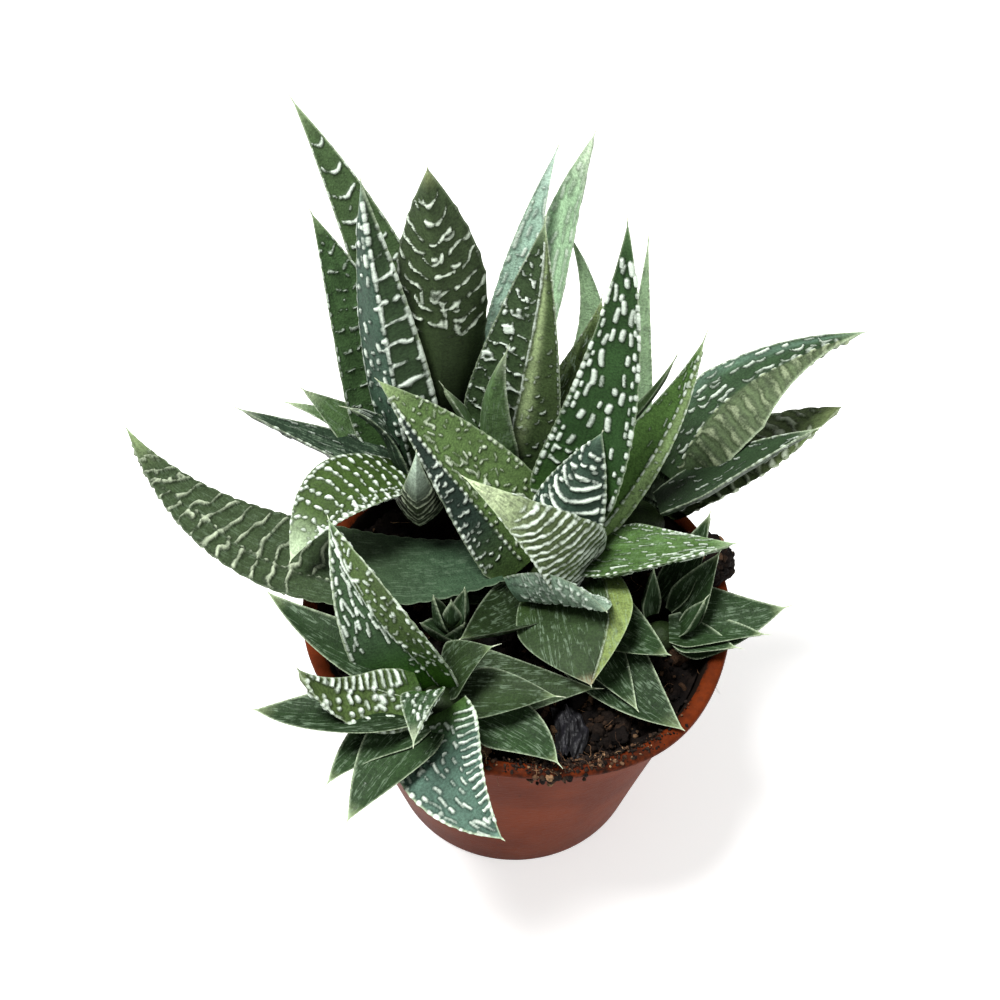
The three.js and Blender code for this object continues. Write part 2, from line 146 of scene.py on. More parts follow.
def makeObject(name, patches, material):
    starts = np.cumsum([0] + [len(p["points"]) for p in patches])
    points = np.concatenate([p["points"] for p in patches]) * mm
    faces = [p["faces"] + start for p, start in zip(patches, starts)]
    corners = np.concatenate([f.ravel() for f in faces]).astype(np.int32)
    sizes = np.concatenate([np.full(len(f), f.shape[1], np.int32) for f in faces])
    mesh = bpy.data.meshes.new(name)
    mesh.vertices.add(len(points))
    mesh.vertices.foreach_set("co", points.astype(np.float32).ravel())
    mesh.loops.add(len(corners))
    mesh.loops.foreach_set("vertex_index", corners)
    mesh.polygons.add(len(sizes))
    mesh.polygons.foreach_set("loop_start", np.concatenate([[0], np.cumsum(sizes)[:-1]]).astype(np.int32))
    mesh.update(calc_edges=True)
    mesh.polygons.foreach_set("use_smooth", np.ones(len(sizes), bool))
    for key in patches[0]["held"]:
        values = np.concatenate([np.asarray(p["held"][key], np.float32) for p in patches])
        if values.ndim == 1:
            mesh.attributes.new(key, "FLOAT", "POINT").data.foreach_set("value", values)
        elif key == "colour":
            values = np.hstack([values, np.ones((len(values), 1), np.float32)])
            mesh.attributes.new(key, "FLOAT_COLOR", "POINT").data.foreach_set("color", values.ravel())
        else:
            mesh.attributes.new(key, "FLOAT_VECTOR", "POINT").data.foreach_set("vector", values.ravel())
    mesh.materials.append(material)
    made = bpy.data.objects.new(name, mesh)
    bpy.context.scene.collection.objects.link(made)
    print(name, "has", int((sizes - 2).sum()), "triangles")
    return made


def sheetFaces(rows, columns, flip=False):  # the faces of a grid of points, row by row
    a = (np.arange(rows - 1)[:, None] * columns + np.arange(columns - 1)).ravel()
    quads = np.stack([a, a + 1, a + columns + 1, a + columns], 1)
    return quads[:, ::-1] if flip else quads


# A leaf, in millimetres and degrees. bow lifts its middle and sway moves it sideways, crest being how far
# along. roll turns it about its length. It is widest at the share widest of its length; heel is its width
# at the root, and point and taper are how it narrows. cup hollows it, keel moves the ridge below off the
# middle, hair is the length of its bristle, and shade darkens it, a painted shade for leaves that lie in
# shadow.
plainLeaf = dict(thick=4, bow=0, sway=0, crest=0.5, roll=0, widest=0.25, point=1.3, heel=0.75, cup=0.12,
                 keel=0, taper=0, hair=2.0, shade=1.0)
leafGrid = {"pitch": 0.42, "awayColumns": 1.6, "front": (0, -150, 240), "relief": 0.5, "ripple": 0.3,
            "cloudiness": 0.14, "noiseStep": 7.3, "hairRadius": 0.15, "hairRows": 5, "hairColour": 0xc9ccb4}


def leafSpine(heart, leaf):
    heart, tip = np.array(heart, float), np.array(leaf["tip"], float)
    root = heart + leaf["root"]
    chord = unit(tip - root)
    inward = heart - (root + tip) / 2
    inward[2] = 0
    facing = unit(inward) + (0, 0, 1)
    normal = unit(facing - chord * (facing @ chord))
    side = np.cross(chord, normal)
    roll = math.radians(leaf["roll"])
    normal, side = (normal * math.cos(roll) + side * math.sin(roll),
                    side * math.cos(roll) - normal * math.sin(roll))
    control = root + (tip - root) * leaf["crest"] + 2 * leaf["bow"] * normal + 2 * leaf["sway"] * side
    return root, control, tip, side


# On a leaf, s runs from 0 at the base to 1 at the tip and q from -1 to 1 across; v and u are the same
# two ways in millimetres.
def halfWidth(leaf, s):
    swell = np.sin(math.pi / 2 * np.clip(s / leaf["widest"], 0, 1))
    x = np.clip((s - leaf["widest"]) / (1 - leaf["widest"]), 0, 1)
    shape = leaf["heel"] + (1 - leaf["heel"]) * swell
    return leaf["width"] / 2 * shape * (1 - x ** leaf["point"]) * (1 - leaf["taper"] * x * x)


def lineAt(line, s):  # a line's place across the leaf, from its places at the base, the middle and the tip
    low, middle, high = line
    return low + (4 * middle - 3 * low - high) * s + (2 * low + 2 * high - 4 * middle) * s * s


# Each stamp is (across, along, half length, half width, turn, bend, strength), in millimetres on the leaf
def dashColumns(leaf, length, rng, columns=4, pitch=3.4, long=2.2, wide=0.33, start=0.1, end=0.9,
                left=-0.75, right=0.75, kept=0.85, lean=0.0, bend=0.0, power=1.0):
    stamps = []
    for q0 in np.linspace(left, right, columns):
        v = (start + rng.uniform(0, 0.05)) * length
        while v < end * length:
            half = float(halfWidth(leaf, v / length))
            q = q0 + rng.uniform(-0.09, 0.09)
            size = long * rng.uniform(0.4, 1.35)
            if rng.random() < kept and half > 1.1:
                stamps.append((q * half, v, max(size / 2, wide), wide * rng.uniform(0.7, 1.2),
                               math.pi / 2 + lean + q * 0.2 + rng.uniform(-0.25, 0.25),
                               bend * rng.choice([-1, 1]) * rng.uniform(0.3, 1),
                               power * rng.uniform(0.6, 1)))
            v += pitch * rng.uniform(0.65, 1.4)
    return stamps


def dotScatter(leaf, length, rng, pitch=1.9, size=0.3, start=0.1, end=0.93, left=-0.85, right=0.85,
               kept=0.7, long=1.0, power=1.0):
    stamps, v = [], start * length
    while v < end * length:
        half = float(halfWidth(leaf, v / length))
        for u in np.arange(left * half, right * half, pitch):
            if rng.random() < kept:
                reach = size * rng.choice([1, 1, 1.4, 2]) * long
                stamps.append((u + rng.uniform(-0.45, 0.45) * pitch, v + rng.uniform(-0.4, 0.4) * pitch,
                               reach, size * rng.uniform(0.65, 1.15), rng.uniform(0, math.pi), 0,
                               power * rng.uniform(0.5, 1)))
        v += pitch
    return stamps


def hookScatter(leaf, length, rng, pitch=3.4, size=1.1, wide=0.36, start=0.1, end=0.9, left=-0.7, right=0.7,
                kept=0.8, bend=0.45, turn=0.0, power=1.0):  # little arcs, open towards the tip
    stamps, v = [], start * length
    while v < end * length:
        half = float(halfWidth(leaf, v / length))
        for u in np.arange(left * half, right * half, pitch * 0.8):
            if rng.random() < kept and half > 1.5:
                stamps.append((u + rng.uniform(-0.3, 0.3) * pitch, v + rng.uniform(-0.35, 0.35) * pitch,
                               size * rng.uniform(0.5, 1.25), wide * rng.uniform(0.75, 1.15),
                               turn + rng.uniform(-0.45, 0.45), bend * rng.uniform(0.2, 1.3),
                               power * rng.uniform(0.6, 1)))
        v += pitch
    return stamps


def edgeBeads(leaf, length, rng, pitch=1.9, long=1.0, wide=0.34, at=0.95, sides=(-1, 1), start=0.06,
              end=0.9, kept=0.95, power=1.0):
    stamps = []
    for side in sides:
        v = start * length
        while v < end * length:
            s = v / length
            half = float(halfWidth(leaf, s))
            slope = float(halfWidth(leaf, s + 0.02) - halfWidth(leaf, s - 0.02)) / 0.04 / length
            if rng.random() < kept:
                stamps.append((side * at * half, v, long * rng.uniform(0.35, 0.7),
                               wide * rng.uniform(0.75, 1.15), math.pi / 2 - side * slope, 0,
                               power * rng.uniform(0.6, 1)))
            v += pitch * rng.uniform(0.7, 1.3)
    return stamps


def seamLine(leaf, length, rng, line, pitch=2.0, long=1.9, wide=0.26, start=0.05, end=0.95,
             kept=1.0, power=0.9):
    stamps, v = [], start * length
    while v < end * length:
        s = v / length
        here, ahead = (float(lineAt(line, t) * halfWidth(leaf, t)) for t in (s, min(s + 0.02, 1)))
        if rng.random() < kept:
            stamps.append((here, v, long * rng.uniform(0.45, 0.6), wide * rng.uniform(0.75, 1.2),
                           math.atan2(0.02 * length, ahead - here), 0, power * rng.uniform(0.75, 1)))
        v += pitch * rng.uniform(0.85, 1.15)
    return stamps


def markHeight(far):  # 1 in the middle of a mark and 0 beyond its rim, where far is 1
    return np.clip((2.2 - far) / 1.7, 0, 1)


def stampField(u, v, stamps):  # how high each grid point stands in the stamps
    field = np.zeros(u.shape)
    for across, along, half, wide, turn, bend, power in stamps:
        half = max(half, wide)
        reach = half + 2 * wide + abs(bend) * half * half
        first, last = np.searchsorted(v, (along - reach, along + reach))
        if last <= first:
            continue
        du, dv = u[first:last] - across, (v[first:last] - along)[:, None]
        c, s = math.cos(turn), math.sin(turn)
        x, y = du * c + dv * s, dv * c - du * s
        y = y - bend * x * x
        far = np.hypot(np.maximum(np.abs(x) - (half - wide), 0), y) / wide
        field[first:last] = np.maximum(field[first:last], power * markHeight(far))
    return field


# raised rows across the leaf that wander, sag in the middle and break into pieces
def wavyRows(u, v, q, length, rng, pitch=3.6, wide=0.36, sag=2.0, slant=0.0, wobble=0.5, patch=4.0,
             piece=4.0, broken=0.3, start=0.1, end=0.93, left=-1.0, right=1.0, power=1.0, line=0.0,
             knots=1.6, knot=0.4):
    vv = v[:, None] + 0 * u
    bent = np.abs(q[None] - line) ** 1.6
    phase = (vv - slant * u - sag * bent + wobble * waves(u, vv, rng, patch, 9)) / pitch
    row = np.round(phase).astype(int)
    near = np.abs(phase - row) * pitch
    turns = rng.uniform(0, 2 * math.pi, (400, 3))
    turn = turns[np.clip(row, -100, 299) + 100]
    gate = (np.sin(u * 2 * math.pi / piece + turn[..., 0])
            + 0.6 * np.sin(u * 2 * math.pi / (piece * 0.47) + turn[..., 1])) / 1.6
    past = np.maximum(2 * broken - 1 - gate, 0) * piece / 5
    beads = np.abs(np.sin(u * math.pi / knots + turn[..., 2] + 0.7 * np.sin(u * 0.8 + turn[..., 0]))) ** 0.7
    far = np.hypot(near, past) / wide + knot * (1 - beads)
    field = markHeight(far) * (0.85 + 0.15 * np.sin(u * 0.9 + turn[..., 1])) * power
    t = vv / length
    field = field * soft(t, start, start + 0.03) * soft(end - t, 0, 0.03)
    return field * soft(q[None], left - 0.04, left + 0.04) * soft(right - q[None], -0.04, 0.04)


def markKind(maker):
    return lambda **settings: (maker, settings)


dashes, dots, hooks = markKind(dashColumns), markKind(dotScatter), markKind(hookScatter)
edges, seams, ridges = markKind(edgeBeads), markKind(seamLine), markKind(wavyRows)


def edgeSwell(look, beads, v, half):  # each edge swells at its beads, and in slow lobes
    push = {}
    for flank in (-1, 1):
        swell = np.zeros(len(v))
        for place, at, reach, *_ in beads:
            if place * flank > 0:
                swell = np.maximum(swell, np.exp(-((v - at) / (reach + 0.2)) ** 2))
        lobes = np.abs(np.sin(v * math.pi / look["lobePitch"] + flank)) ** 0.7 - 0.6
        push[flank] = (look["edgePush"] * swell + look["lobes"] * lobes) * soft(half, 0.6, 3.5)
    return push


def leafColours(leaf, look, q, t, length, onSeen, rng):
    body = np.ones((len(t), len(q), 1)) * paint(look["body"])
    beyond = q[None] - lineAt(look["line"], t)[:, None]
    # the facet beyond the line: partly its own green, partly painted light and shade for the way it faces the
    # light
    if look["other"] is not None and onSeen:
        body = body + (paint(look["other"]) - body) * soft(beyond, -0.05, 0.05)[..., None]
    # a band beside the line; on whiteScallop partly the upper face's own green and partly a painted sheen
    if look["strip"] is not None and onSeen:
        near = (beyond - look["stripAt"]) / look["stripWide"]
        body = body + (paint(look["strip"]) - body) * np.exp(-near ** 2)[..., None]
    # darker towards the base: painted shade among the leaves' bases, where the base colour is darker than the
    # body
    dark = soft(look["baseReach"] - t, 0, look["baseReach"]) * look["baseMix"]
    body = body + (paint(look["base"]) - body) * dark[:, None, None]
    pale = soft(t, look["tipFrom"], 1.02) * look["tipMix"]
    body = body + (paint(look["tip"]) - body) * pale[:, None, None]
    cloud = waves(np.tile(q, (len(t), 1)) * leaf["width"] / 2, t[:, None] * length, rng, 9)
    # leaf shade is painted shade: it darkens leaves that lie in shadow
    return body * (1 + leafGrid["cloudiness"] * cloud)[..., None] * leaf["shade"]


def leafFrame(heart, leaf, pitch):  # the leaf's middle line, and the ways along, across and above it
    root, control, tip, side = leafSpine(heart, leaf)
    hull = (control - root, tip - control, tip - root)
    rows = int(float(sum(np.linalg.norm(part) for part in hull)) / 2 / pitch) + 2
    s = np.linspace(0, 1, rows)
    spine = (root * (1 - s[:, None]) ** 2 + control * (2 * s * (1 - s))[:, None] + tip * s[:, None] ** 2)
    along = unit(np.gradient(spine, axis=0))
    v = np.concatenate([[0], np.cumsum(np.linalg.norm(np.diff(spine, axis=0), axis=1))])
    across = unit(side - along * (along @ side)[:, None])
    return s, v, spine, along, across, np.cross(across, along)


def bladeShape(leaf, look, q, s, half, face, onSeen):  # how far each point stands above the frame
    shape = -leaf["cup"] * half[:, None] * (1 - q * q)
    if onSeen:
        fold = lineAt(look["line"], s)[:, None]
        slope = np.where(q > fold, (1 - q) / np.maximum(1 - fold, 0.05),
                         (1 + q) / np.maximum(1 + fold, 0.05))
        crease = slope - 0.12 * np.exp(-((q - fold) / 0.12) ** 2)
        shape = shape + face * look["ridge"] * half[:, None] * crease
    if face < 0:
        thick = np.minimum(leaf["thick"] * (0.25 + 0.75 * half / (leaf["width"] / 2)) * (1 - 0.15 * s),
                           half * 1.6)[:, None]
        tent = np.where(q < leaf["keel"], (q + 1) / (1 + leaf["keel"]), (1 - q) / (1 - leaf["keel"]))
        shape = shape - thick * (0.45 * (1 - np.abs(q) ** 2.2) + 0.55 * tent)
    return shape


def markField(leaf, look, u, v, q, beads, rng):  # how high the raised marks stand at each grid point
    stamps, field = list(beads), np.zeros(u.shape)
    for maker, settings in look["marks"]:
        if maker is wavyRows:
            field = np.maximum(field, wavyRows(u, v, q, v[-1], rng, **settings))
        elif maker is seamLine:  # along the look's own line, unless the mark names another
            stamps += seamLine(leaf, v[-1], rng, **{"line": look["line"], **settings})
        else:
            stamps += maker(leaf, v[-1], rng, **settings)
    return np.maximum(field, stampField(u, v, stamps))


def leafPatches(heart, row, looks, number):  # the upper face and the lower one, each with half of the bristle
    leaf = {**plainLeaf, **row}
    look = {**looks["plain"], **looks[leaf["look"]]}
    rng = np.random.default_rng(number)
    pitch = leafGrid["pitch"] * look["coarse"]
    s, v, spine, along, across, up = leafFrame(heart, leaf, pitch)
    length, middle = v[-1], len(s) // 2
    half = np.maximum(halfWidth(leaf, s), leafGrid["hairRadius"])
    seen = 1 if up[middle] @ (np.array(leafGrid["front"]) - spine[middle]) > 0 else -1
    beads = edgeBeads(leaf, length, rng, **look["edge"]) if look["edge"] is not None else []
    push = edgeSwell(look, beads, v, half)
    hair = np.linspace(0, 1, leafGrid["hairRows"] + 1)[1:]
    ends = spine[-1] + along[-1] * (leaf["hair"] * hair)[:, None]
    thin = leafGrid["hairRadius"] * (1 - 0.75 * hair)
    t = np.concatenate([s, np.ones(len(hair))])
    wide = np.concatenate([half, thin])[:, None]
    run = np.concatenate([v, length + leaf["hair"] * hair])[:, None]
    patches = []
    for face in (1, -1):
        step = pitch if face == seen else pitch * leafGrid["awayColumns"]
        columns = max(9, int(leaf["width"] / step) + 1)
        even = np.linspace(-1, 1, columns)
        q = np.sin(even * 1.45) / math.sin(1.45) * 0.35 + even * 0.65  # closer together towards the edges
        u = q * half[:, None]
        shape = bladeShape(leaf, look, q, s, half, face, face == seen)
        field = markField(leaf, look, u, v, q, beads, rng)
        ripple = waves(u, v[:, None] + 0 * u, rng, 12) * leafGrid["ripple"]
        ripple = ripple * soft(half, 0.5, 5)[:, None] * (1 - np.abs(q) ** 6)
        lift = leafGrid["relief"] * look["relief"] * soft(field, 0.2, 1.0) + 0.5 * face * ripple
        out = np.where(q > 0, push[1][:, None], push[-1][:, None]) * np.abs(q) ** 8 * np.sign(q)
        points = spine[:, None] + across[:, None] * (u + out)[..., None] + up[:, None] * shape[..., None]
        normals = unit(np.cross(np.gradient(points, axis=1), np.gradient(points, axis=0)))
        points = points + normals * face * (lift * (1 - np.abs(q) ** 10))[..., None]
        bristle = (ends[:, None] + across[-1] * (q * thin[:, None])[..., None]
                   + up[-1] * ((1 - q * q) * thin[:, None] * face)[..., None])
        points = np.concatenate([points, bristle])
        body = leafColours(leaf, look, q, t, length, face == seen, rng)
        body[len(s):] = paint(leafGrid["hairColour"])
        field = np.concatenate([field, np.zeros((len(hair), columns))])
        place = np.stack([q * wide, np.tile(run, (1, columns)),
                          np.full((len(t), columns), number * leafGrid["noiseStep"])], -1)
        rim = look["rim"] * (1 - soft(wide * (1 - np.abs(q)), 0, look["rimWide"]))
        past = q[None] > lineAt(look["line"], t)[:, None]
        beyond = look["chalk"] if look["chalkBeyond"] is None else look["chalkBeyond"]
        chalk = np.where(past, beyond, look["chalk"])
        patches.append(patch(points, sheetFaces(len(t), columns, face < 0), wart=field.ravel(),
                             colour=np.clip(body, 0, 1).reshape(-1, 3), place=place.reshape(-1, 3),
                             rim=rim.ravel(), veins=np.full(field.size, look["veins"]),
                             chalk=chalk.ravel()))
    return patches


# Finishes of the leaves. body is the main green, and other the green beyond a line that runs along the
# leaf; line gives its place across at the base, the middle and the tip. The two greens are partly the
# faces' own colours and partly painted light and shade, a facet painted lighter where it faces the light
# and darker where it faces away. base and tip are the colours at the ends; a base darker than the body
# is painted shade, the deep shade among the leaves' bases, and a brighter one is the leaf's own colour.
# strip is a band beside the line, on whiteScallop the upper face's own bluish green with a painted sheen,
# and marks are the raised marks.
leafLooks = {
    "plain": dict(
        body=0x3c4f2c, other=None, base=0x24331a, baseReach=0.35, baseMix=0.8, tip=0x94a67c, tipFrom=0.84,
        tipMix=0.7, marks=[], edge=dict(pitch=1.7, long=0.9, wide=0.24, power=0.7), edgePush=0.12,
        relief=1.0, lobes=0.0, lobePitch=3.0, line=(0, 0, 0), ridge=0.0, veins=0.0, chalk=1.0, rim=0.6,
        rimWide=0.4, coarse=1.0, chalkBeyond=None, strip=None, stripAt=0.16, stripWide=0.14),
    # smooth dark outer leaves
    "smooth": dict(
        body=0x273a21, base=0x16260e, tip=0x8a9a70, veins=0.58, rim=1.0, rimWide=0.45, ridge=-0.12,
        edge=dict(pitch=0.9, long=0.5, wide=0.17, at=0.98, power=0.5), edgePush=0.06, coarse=1.45, marks=[
            dots(kept=0.12, size=0.22, power=0.6)]),
    "shadyLeaf": dict(
        body=0x25341b, base=0x141f0e, tip=0x6f8056, veins=0.45, rim=0.55, rimWide=0.3,
        edge=dict(pitch=0.9, long=0.5, wide=0.15, at=0.98, power=0.4), edgePush=0.05, coarse=1.5),
    "foldedLeaf": dict(
        body=0x6c7c44, other=0x2a3a20, base=0x2a3c18, tip=0xa08c70, tipFrom=0.9, veins=0.6, rim=0.5,
        line=(-0.65, -0.6, -0.5), ridge=0.16, edge=None, coarse=1.2, marks=[
            seams(long=2.6, power=0.6),
            dots(left=-0.95, right=-0.6, kept=0.5, pitch=1.3, size=0.2, power=0.6)]),
    "tallDash": dict(
        body=0x2b4524, base=0x3a5a1e, baseMix=0.6, tip=0x5c7a50, tipFrom=0.9, tipMix=0.6, rim=0.7,
        edge=dict(pitch=2.3, long=1.5, wide=0.4, at=0.93, end=0.86), edgePush=0.2, coarse=0.9, marks=[
            dashes(left=-0.55, right=0.55, pitch=4.8, long=2.9, wide=0.46, start=0.3, kept=0.8, bend=0.06),
            edges(pitch=3.0, long=1.6, wide=0.36, at=0.78, kept=0.75, start=0.2, end=0.75),
            hooks(start=0.08, end=0.3, pitch=3.0, size=0.9, kept=0.6)]),
    "tallBar": dict(
        body=0x3a4e2e, base=0x2a401c, tip=0x7c9068, tipFrom=0.88, rim=0.9, rimWide=0.5,
        edge=dict(pitch=2.2, long=1.4, wide=0.26, power=0.7), marks=[
            ridges(pitch=5.6, piece=7, sag=1.6, wide=0.43, wobble=0.8, patch=5, end=0.95, left=-0.8,
                   right=0.75),
            dots(kept=0.1, start=0.3)]),
    "tallFaint": dict(
        body=0x3a5230, base=0x2c4420, tip=0x7a9066, tipFrom=0.88, rim=0.8,
        edge=dict(pitch=2.2, long=1.4, wide=0.26, power=0.8), marks=[
            ridges(pitch=4.2, piece=3.6, broken=0.55, sag=1.0, wide=0.3, wobble=0.8, power=0.75),
            dots(kept=0.15, size=0.26, power=0.7)]),
    "backBar": dict(
        body=0x30422a, other=0x3a5042, base=0x263c1e, tip=0x8ca08a, tipFrom=0.9, rim=0.8,
        line=(-0.12, -0.28, -0.3), ridge=0.2, edge=dict(pitch=2.2, long=1.8, wide=0.32), edgePush=0.16,
        marks=[
            ridges(pitch=4.4, piece=7, sag=1.4, slant=0.25, wide=0.42, wobble=0.8, right=-0.3, left=-0.9,
                   start=0.15, end=0.8),
            dashes(columns=3, left=0.05, pitch=3.6, long=2.0, wide=0.42, kept=0.8),
            dots(left=-0.1, kept=0.3, size=0.34),
            seams(wide=0.34, pitch=2.2)]),
    "backBand": dict(
        chalk=0.75, body=0x344228, base=0x0e1608, baseReach=0.5, baseMix=1.0, tip=0x8c9668, tipFrom=0.93,
        rim=0.3, edge=dict(pitch=3.6, long=1.2, wide=0.3, power=0.5), edgePush=0.25, coarse=0.92,
        relief=1.2, marks=[
            ridges(pitch=3.7, piece=5.4, broken=0.42, sag=4.2, wide=0.42, wobble=1.2, knot=0.9, patch=4.5,
                   start=0.42, end=0.95, line=0.05),
            hooks(left=-0.4, right=0.35, pitch=3.2, size=1.0, start=0.42, kept=0.45),
            dashes(columns=3, left=-0.4, right=0.3, pitch=5, long=3.0, wide=0.3, end=0.66, start=0.46,
                   kept=0.7, power=0.9)]),
    "backSquiggle": dict(
        body=0x35462c, other=0x3a4a2a, strip=0x8c9e70, base=0x26381c, tip=0x93a882, tipFrom=0.9, rim=0.8,
        line=(0.1, 0.16, 0.6), ridge=0.14, coarse=1.05, marks=[
            ridges(pitch=4.2, piece=4.2, broken=0.4, wide=0.38, wobble=1.2, patch=3.4, right=0.1,
                   end=0.85),
            hooks(left=0.2, right=0.8, pitch=2.6, size=0.9, turn=1.0, wide=0.28, power=0.7),
            dots(kept=0.25, size=0.32, right=0.1),
            seams(power=0.8)]),
    "paleStreak": dict(
        body=0x90b08a, base=0x3f5a38, tip=0xb9c4ae, tipFrom=0.8, veins=0.5, chalk=0.85, relief=0.6,
        edge=dict(pitch=2.4, long=1.8, wide=0.24, power=0.6), marks=[
            dashes(pitch=3.6, long=3.4, wide=0.55, power=0.7, kept=0.8)]),
    "blueStreak": dict(
        body=0x96b4a0, base=0x3d5644, tip=0xb0c2b6, tipFrom=0.8, veins=0.5, chalk=0.95, relief=0.6,
        edge=dict(pitch=1.8, wide=0.26, power=0.7), marks=[
            dashes(columns=3, pitch=3.6, long=2.8, wide=0.4, kept=0.8, power=0.8),
            dots(kept=0.35, power=0.8)]),
    "smoothPale": dict(
        body=0x7c9672, base=0x43583a, tip=0x9cae8c, veins=0.4, coarse=1.3, marks=[
            dots(kept=0.15, power=0.6)]),
    "oliveStreak": dict(
        body=0x5f7148, other=0x3c4c2a, base=0x222f16, tip=0x7c8c5c, veins=1.0, rim=0.4,
        line=(-0.5, -0.6, -0.7), coarse=1.1, marks=[
            dashes(columns=6, pitch=3.2, long=3.2, wide=0.2, kept=0.8, end=0.8, power=0.55, bend=0.08)]),
    "slim": dict(
        body=0x48603a, base=0x2e4424, tip=0xa4b290, tipFrom=0.75, veins=0.5, rim=0.9, coarse=1.2,
        edge=dict(pitch=1.5, wide=0.2, power=0.6), marks=[
            dots(kept=0.12, power=0.6)]),
    "slimBlue": dict(
        body=0x2a3a2b, base=0x243326, tip=0xa6b09a, tipFrom=0.85, veins=0.6, rim=0.8,
        edge=dict(pitch=2.1, long=1.3, wide=0.24, power=0.75), marks=[
            dashes(long=3.0, wide=0.22, kept=0.65, power=0.72)]),
    "curledBand": dict(
        body=0x35491f, base=0x2a3f16, tip=0xb4c8a4, tipFrom=0.72, tipMix=0.9, ridge=0.1, coarse=0.85,
        edge=dict(pitch=1.5, long=0.8), edgePush=0.16, rim=0.5, marks=[
            ridges(pitch=2.9, piece=5, sag=1.2, wide=0.42, knots=2.0, knot=1.5, end=0.86),
            dots(left=-1, right=-0.55, pitch=1.3, kept=0.9)]),
    "fineBand": dict(
        chalk=0.35, body=0x2a3320, base=0x1c2614, tip=0xaabdaa, tipFrom=0.55, tipMix=0.95, coarse=0.85,
        rim=0.5, marks=[
            ridges(pitch=1.35, piece=1.7, broken=0.22, sag=0.5, wide=0.26, wobble=0.3, patch=3, start=0.05,
                   end=0.68, power=0.85)]),
    "oliveFacet": dict(
        body=0x24322a, other=0x4c6236, chalkBeyond=0.5, base=0x3c5026, tip=0xa0b480, tipFrom=0.8,
        tipMix=0.5, line=(-0.3, -0.48, -0.85), ridge=0.17, rim=0.5, coarse=0.95,
        edge=dict(pitch=1.7, long=0.9, start=0.1, end=0.88), edgePush=0.16, marks=[
            seams(wide=0.36, pitch=1.7, long=1.1, end=0.9),
            dots(left=-0.3, pitch=1.8, kept=0.72, long=1.6, power=0.95),
            dashes(columns=3, left=-0.3, right=0.1, pitch=2.6, long=1.8, wide=0.28, start=0.35, end=0.75,
                   lean=0.3, power=0.8),
            hooks(left=-0.9, right=-0.5, pitch=1.9, size=0.8, wide=0.32, end=0.6, kept=0.75, power=0.85)]),
    "tightBand": dict(
        body=0x566640, base=0x35452a, tip=0xc0d0a4, tipFrom=0.6, tipMix=0.95, ridge=0.06, rim=0.5,
        coarse=0.8, relief=1.15, edge=dict(pitch=1.7, wide=0.4, end=0.8), edgePush=0.2, marks=[
            ridges(pitch=2.05, piece=4.2, broken=0.16, sag=1.9, slant=-0.6, wide=0.42, knot=0.6,
                   wobble=0.4, patch=3.2, start=0.0, end=0.74),
            dashes(columns=6, left=-0.6, right=0.6, pitch=3.0, long=2.6, wide=0.16, start=0.7, end=0.95,
                   power=0.5)]),
    "smileArc": dict(
        body=0x2c3e32, base=0x1c2a20, tip=0x5c7262, tipFrom=0.88, coarse=0.8, relief=1.2,
        edge=dict(pitch=1.6, long=0.9, wide=0.42, end=0.88), edgePush=0.2, marks=[
            ridges(pitch=2.6, piece=9, broken=0.12, sag=3.4, wide=0.44, wobble=0.4, patch=5, start=0.2,
                   end=0.72, left=-0.86, right=0.8),
            hooks(start=0.68, end=0.86, pitch=2.2, size=0.8, kept=0.9, bend=0.4),
            dots(left=0.5, right=0.95, pitch=1.7, size=0.4, kept=0.8)]),
    "longStreak": dict(
        body=0x456032, base=0x355022, tip=0x94a884, tipFrom=0.85, veins=0.4, rim=0.5,
        edge=dict(pitch=1.5, long=0.8, wide=0.28), coarse=0.95, marks=[
            dashes(columns=8, pitch=2.8, long=3.2, wide=0.17, kept=0.75, power=0.85, bend=0.06),
            dots(left=0.6, right=0.95, pitch=1.3, size=0.26, kept=0.8, power=0.8)]),
    "beadedRidge": dict(
        body=0x4c6b35, other=0x7c9460, base=0x476e1e, baseMix=0.6, tip=0x9caa88, tipFrom=0.9, ridge=0.2,
        line=(0.75, 0.5, 0.35), rim=0.7, edge=dict(long=1.3, wide=0.24, power=0.8), marks=[
            seams(wide=0.3, pitch=1.9, long=1.4),
            dots(left=0.5, right=0.9, kept=0.6, size=0.24, power=0.8),
            dashes(columns=3, left=-0.7, right=0.15, pitch=3.2, long=1.8, wide=0.2, kept=0.65,
                   power=0.7)]),
    "dotted": dict(
        body=0x8fa892, base=0x4a6450, baseReach=0.2, tip=0x93a890, rim=0.8, ridge=-0.1, coarse=0.85,
        edge=dict(pitch=1.4, long=0.8, wide=0.32), edgePush=0.16, marks=[
            dots(pitch=1.5, kept=0.8, power=0.95),
            ridges(pitch=2.6, piece=2.2, broken=0.5, sag=0.4, wide=0.3, wobble=0.6, power=0.85)]),
    "valleyDash": dict(
        body=0x384e34, other=0x4a5e34, base=0x2f5a12, baseReach=0.42, baseMix=0.95, tip=0x55705a,
        tipFrom=0.9, line=(0.4, -0.02, -0.45), ridge=-0.2, rim=1.0, rimWide=0.55, coarse=0.8,
        edge=dict(pitch=2.1, long=1.6, wide=0.26, power=0.8), edgePush=0.22, marks=[
            seams(wide=0.2, pitch=2.4, long=2.9, power=0.85),
            dots(left=0.15, right=0.98, pitch=1.7, size=0.34, kept=0.8, long=1.3, start=0.15),
            dashes(columns=5, left=-0.85, right=-0.1, pitch=2.4, long=2.4, wide=0.27, start=0.36, end=0.94,
                   bend=0.05)]),
    "arcDot": dict(
        body=0x46582f, base=0x2f4a1a, tip=0x8c9c70, rim=0.7, coarse=0.8, relief=1.15,
        edge=dict(pitch=1.2, long=0.7, sides=(-1,)), edgePush=0.16, marks=[
            dots(pitch=1.8, size=0.5, kept=0.92, right=0.4, start=0.02, end=0.92),
